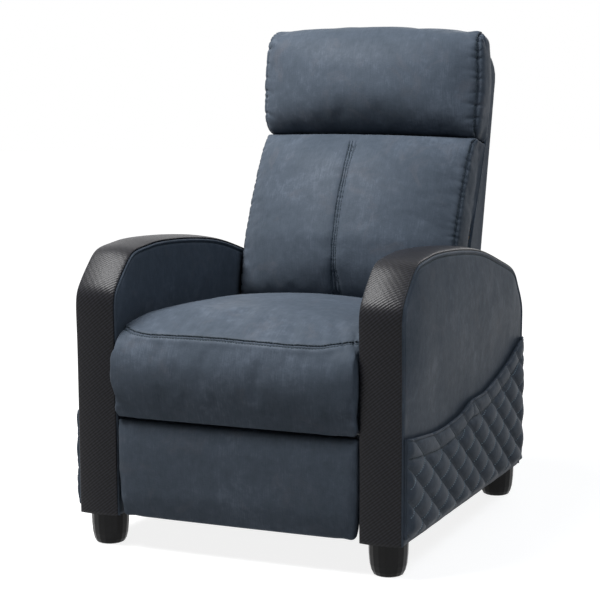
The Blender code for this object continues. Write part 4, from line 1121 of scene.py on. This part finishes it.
def stitch_row(tree, line, pitch=0.0058, long=0.0048, thick=0.0015, sink=0.0):
    """The turn and place of each stitch along a line, dropped onto the leather."""
    row = []
    stops = spaced(line, pitch)
    for before, after in zip(stops, stops[1:]):
        spot, normal, _, _ = tree.find_nearest((before + after) / 2)
        if spot is None:
            continue
        way = (after - before).normalized()
        way = (way - normal * way.dot(normal)).normalized()
        turn = Matrix((normal, way.cross(normal), way)).transposed() @ Matrix.Diagonal((thick, thick, long))
        row.append(Matrix.Translation(spot + normal * (thick * 0.25 - sink)) @ turn.to_4x4())
    return row


def sewn(name, rows, material, body):
    """All the stitches of some rows as one piece."""
    stitches = [stitch for row in rows for stitch in row]
    whole, part = bmesh.new(), bpy.data.meshes.new("stitches")
    for start in range(0, len(stitches), HANDFUL):
        bm = bmesh.new()
        for stitch in stitches[start:start + HANDFUL]:
            bmesh.ops.create_uvsphere(bm, u_segments=6, v_segments=4, radius=0.5, matrix=stitch)
        bm.to_mesh(part)
        bm.free()
        whole.from_mesh(part)
    made = piece(whole, name, material)
    print(name, len(stitches), "stitches")
    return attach(made, body)


# %% Sew the seat, the back and the arms
def beside(line, tree, distance):
    """A line moved sideways on a surface."""
    normals = [tree.find_nearest(point)[1] for point in line]
    return [point + normals[i].cross(way_at(line, i)).normalized() * distance
            for i, point in enumerate(line)]


seat_tree, lumbar_tree, head_tree = (tree_of(bmesh_of(made)) for made in (SEAT, LUMBAR, HEAD))
front = SEAT_SEAMS[0][8:-8]
sewn("seat_thread", [stitch_row(seat_tree, beside(front, seat_tree, shift)) for shift in (-0.0024, 0.0024)]
     + [stitch_row(seat_tree, line, sink=0.0002) for line in SEAT_SEAMS[1:]], THREAD, "carriage")
middle = LUMBAR_SEAMS[0]
sewn("lumbar_thread", [stitch_row(lumbar_tree, [point + Vector((shift, 0, 0)) for point in middle])
                       for shift in (-0.0055, 0.0, 0.0055)]
     + [stitch_row(lumbar_tree, line, sink=0.0002) for line in LUMBAR_SEAMS[1:]], THREAD, "backrest")
sewn("headrest_thread", [stitch_row(head_tree, line, sink=0.0002) for line in HEAD_SEAMS], THREAD,
     "backrest")
arm_rows = []
for side, word in SIDES:
    tree = tree_of(bmesh_of(ARM_COVERS[word]))
    for face in (ARM_INNER, ARM_OUTER):
        arm_rows.append(stitch_row(tree, [Vector((side * face, p.x, p.y))
                                          for p in offset_line(ARM_LINE, -STITCH_INSET)[2:-2]]))
sewn("arm_thread", arm_rows, THREAD, "base")
sewn("shell_thread", [stitch_row(tree_of(bmesh_of(SHELL)), SHELL_SEAM)], THREAD, "backrest")


# %% Sew the quilting and the hem
def quilt_rows(side, word, family):
    tree = tree_of(bmesh_of(POCKETS[word]))
    rows = []
    for number in range(-8, 16):
        line = []
        for step in range(-160, 320):
            a, b = (number, step / 20) if family == 0 else (step / 20, number)
            depth, height = quilt_place(a, b)
            deep = HEM_WIDTH + 0.002 if family else 0.012
            spot = tree.ray_cast((side * ARM_OUTER * 1.2, depth + 2e-5, height + 3e-5), (-side, 0, 0))[0]
            if (spot and POCKET_FRONT + 0.004 < depth < POCKET_REAR - 0.004 and height > POCKET_LOW + 0.004
                    and below_hem(depth, height) > deep):
                line.append(spot)
        if len(line) > 2:
            rows.append(stitch_row(tree, line, pitch=0.0060, long=0.0046, thick=0.0017))
    return rows


# The pale thread on the second family is painted highlight along the raised quilted edges; the first family
# keeps the dark teal seam thread.
for family, (word, thread) in enumerate((("dark", THREAD), ("light", QUILT_THREAD_PAINTED_HIGHLIGHT))):
    sewn("quilting_thread_" + word, [row for pair in SIDES for row in quilt_rows(*pair, family)], thread,
         "base")
sewn("hem_thread", [stitch_row(tree_of(bmesh_of(POCKETS[word])),
                               [Vector((side * (POCKET_BACK + 0.004), p.x, p.y - HEM_WIDTH))
                                for p in HEM[2:-2]])
                    for side, word in SIDES], THREAD, "base")

# %% [markdown]
# ## The studio
# A pale floor that runs out of sight, a large soft lamp above the front left, a weaker one above
# the front right that is a little cooler, and one behind, so that the back isn't lost in the dark.
# The world is white where the camera or a mirror looks at it, and softer as a light.

# %% Light the chair
def lamp(name, place, target, size, power, tint="#ffffff"):
    made = bpy.data.objects.new(name, bpy.data.lights.new(name, "AREA"))
    made.data.shape = "RECTANGLE"
    made.data.size, made.data.size_y = size
    made.data.energy = power
    made.data.color = colour(tint)[:3]
    made.location = place
    made.rotation_mode = "QUATERNION"
    made.rotation_quaternion = (Vector(target) - Vector(place)).to_track_quat("-Z", "Y")
    bpy.context.scene.collection.objects.link(made)
    return made


lamp("lamp_overhead", (-1.05, -0.90, 2.75), (0, 0.0, 0.50), (1.6, 1.1), 124)
lamp("lamp_side", (1.6, -0.9, 2.8), (0.2, 0, 0.5), (1.2, 1.0), 31, "#dfe9f4")
lamp("lamp_rear", (0.3, 3.2, 2.2), (0, 0, 0.5), (2.0, 1.4), 22)


def seen_in(tree):
    """1 where the camera, a mirror or glass looks, and 0 where light is gathered."""
    rays = add(tree, "LightPath").outputs
    return maths(tree, "MAXIMUM", maths(tree, "MAXIMUM", rays["Is Camera Ray"], rays["Is Glossy Ray"]),
                 rays["Is Transmission Ray"])


world = bpy.data.worlds.new("studio")
bpy.context.scene.world = world
world.use_nodes = True
tree = world.node_tree
tree.nodes.clear()
soft, bright = (add(tree, "Background", {"Color": colour("#ffffff"), "Strength": strength}).outputs[0]
                for strength in (0.07, 1.0))
mixed = add(tree, "MixShader", {0: seen_in(tree), 1: soft, 2: bright})
add(tree, "OutputWorld", {"Surface": mixed.outputs[0]})

bm = bmesh.new()
bmesh.ops.create_circle(bm, segments=64, radius=14.0, cap_ends=True)
floor_finish, tree, out = finish_of("painted_studio_floor")
pale = add(tree, "BsdfDiffuse", {"Color": colour("#a0a0a0")})
away = add(tree, "VectorMath", {0: add(tree, "TexCoord").outputs["Object"]}, operation="LENGTH")
fade = ranged(tree, away.outputs["Value"], 0.7, 2.2, 0.86, 1.0)
glow = add(tree, "Emission", {"Color": colour("#ffffff"), "Strength": maths(
    tree, "MULTIPLY", seen_in(tree), fade)})
lit = add(tree, "AddShader", {0: pale.outputs[0], 1: glow.outputs[0]})
tree.links.new(lit.outputs[0], out.inputs["Surface"])
FLOOR = piece(bm, "studio_floor", floor_finish, smooth=False)
bpy.context.scene.view_settings.view_transform = "Standard"
print("lamps and floor in place")
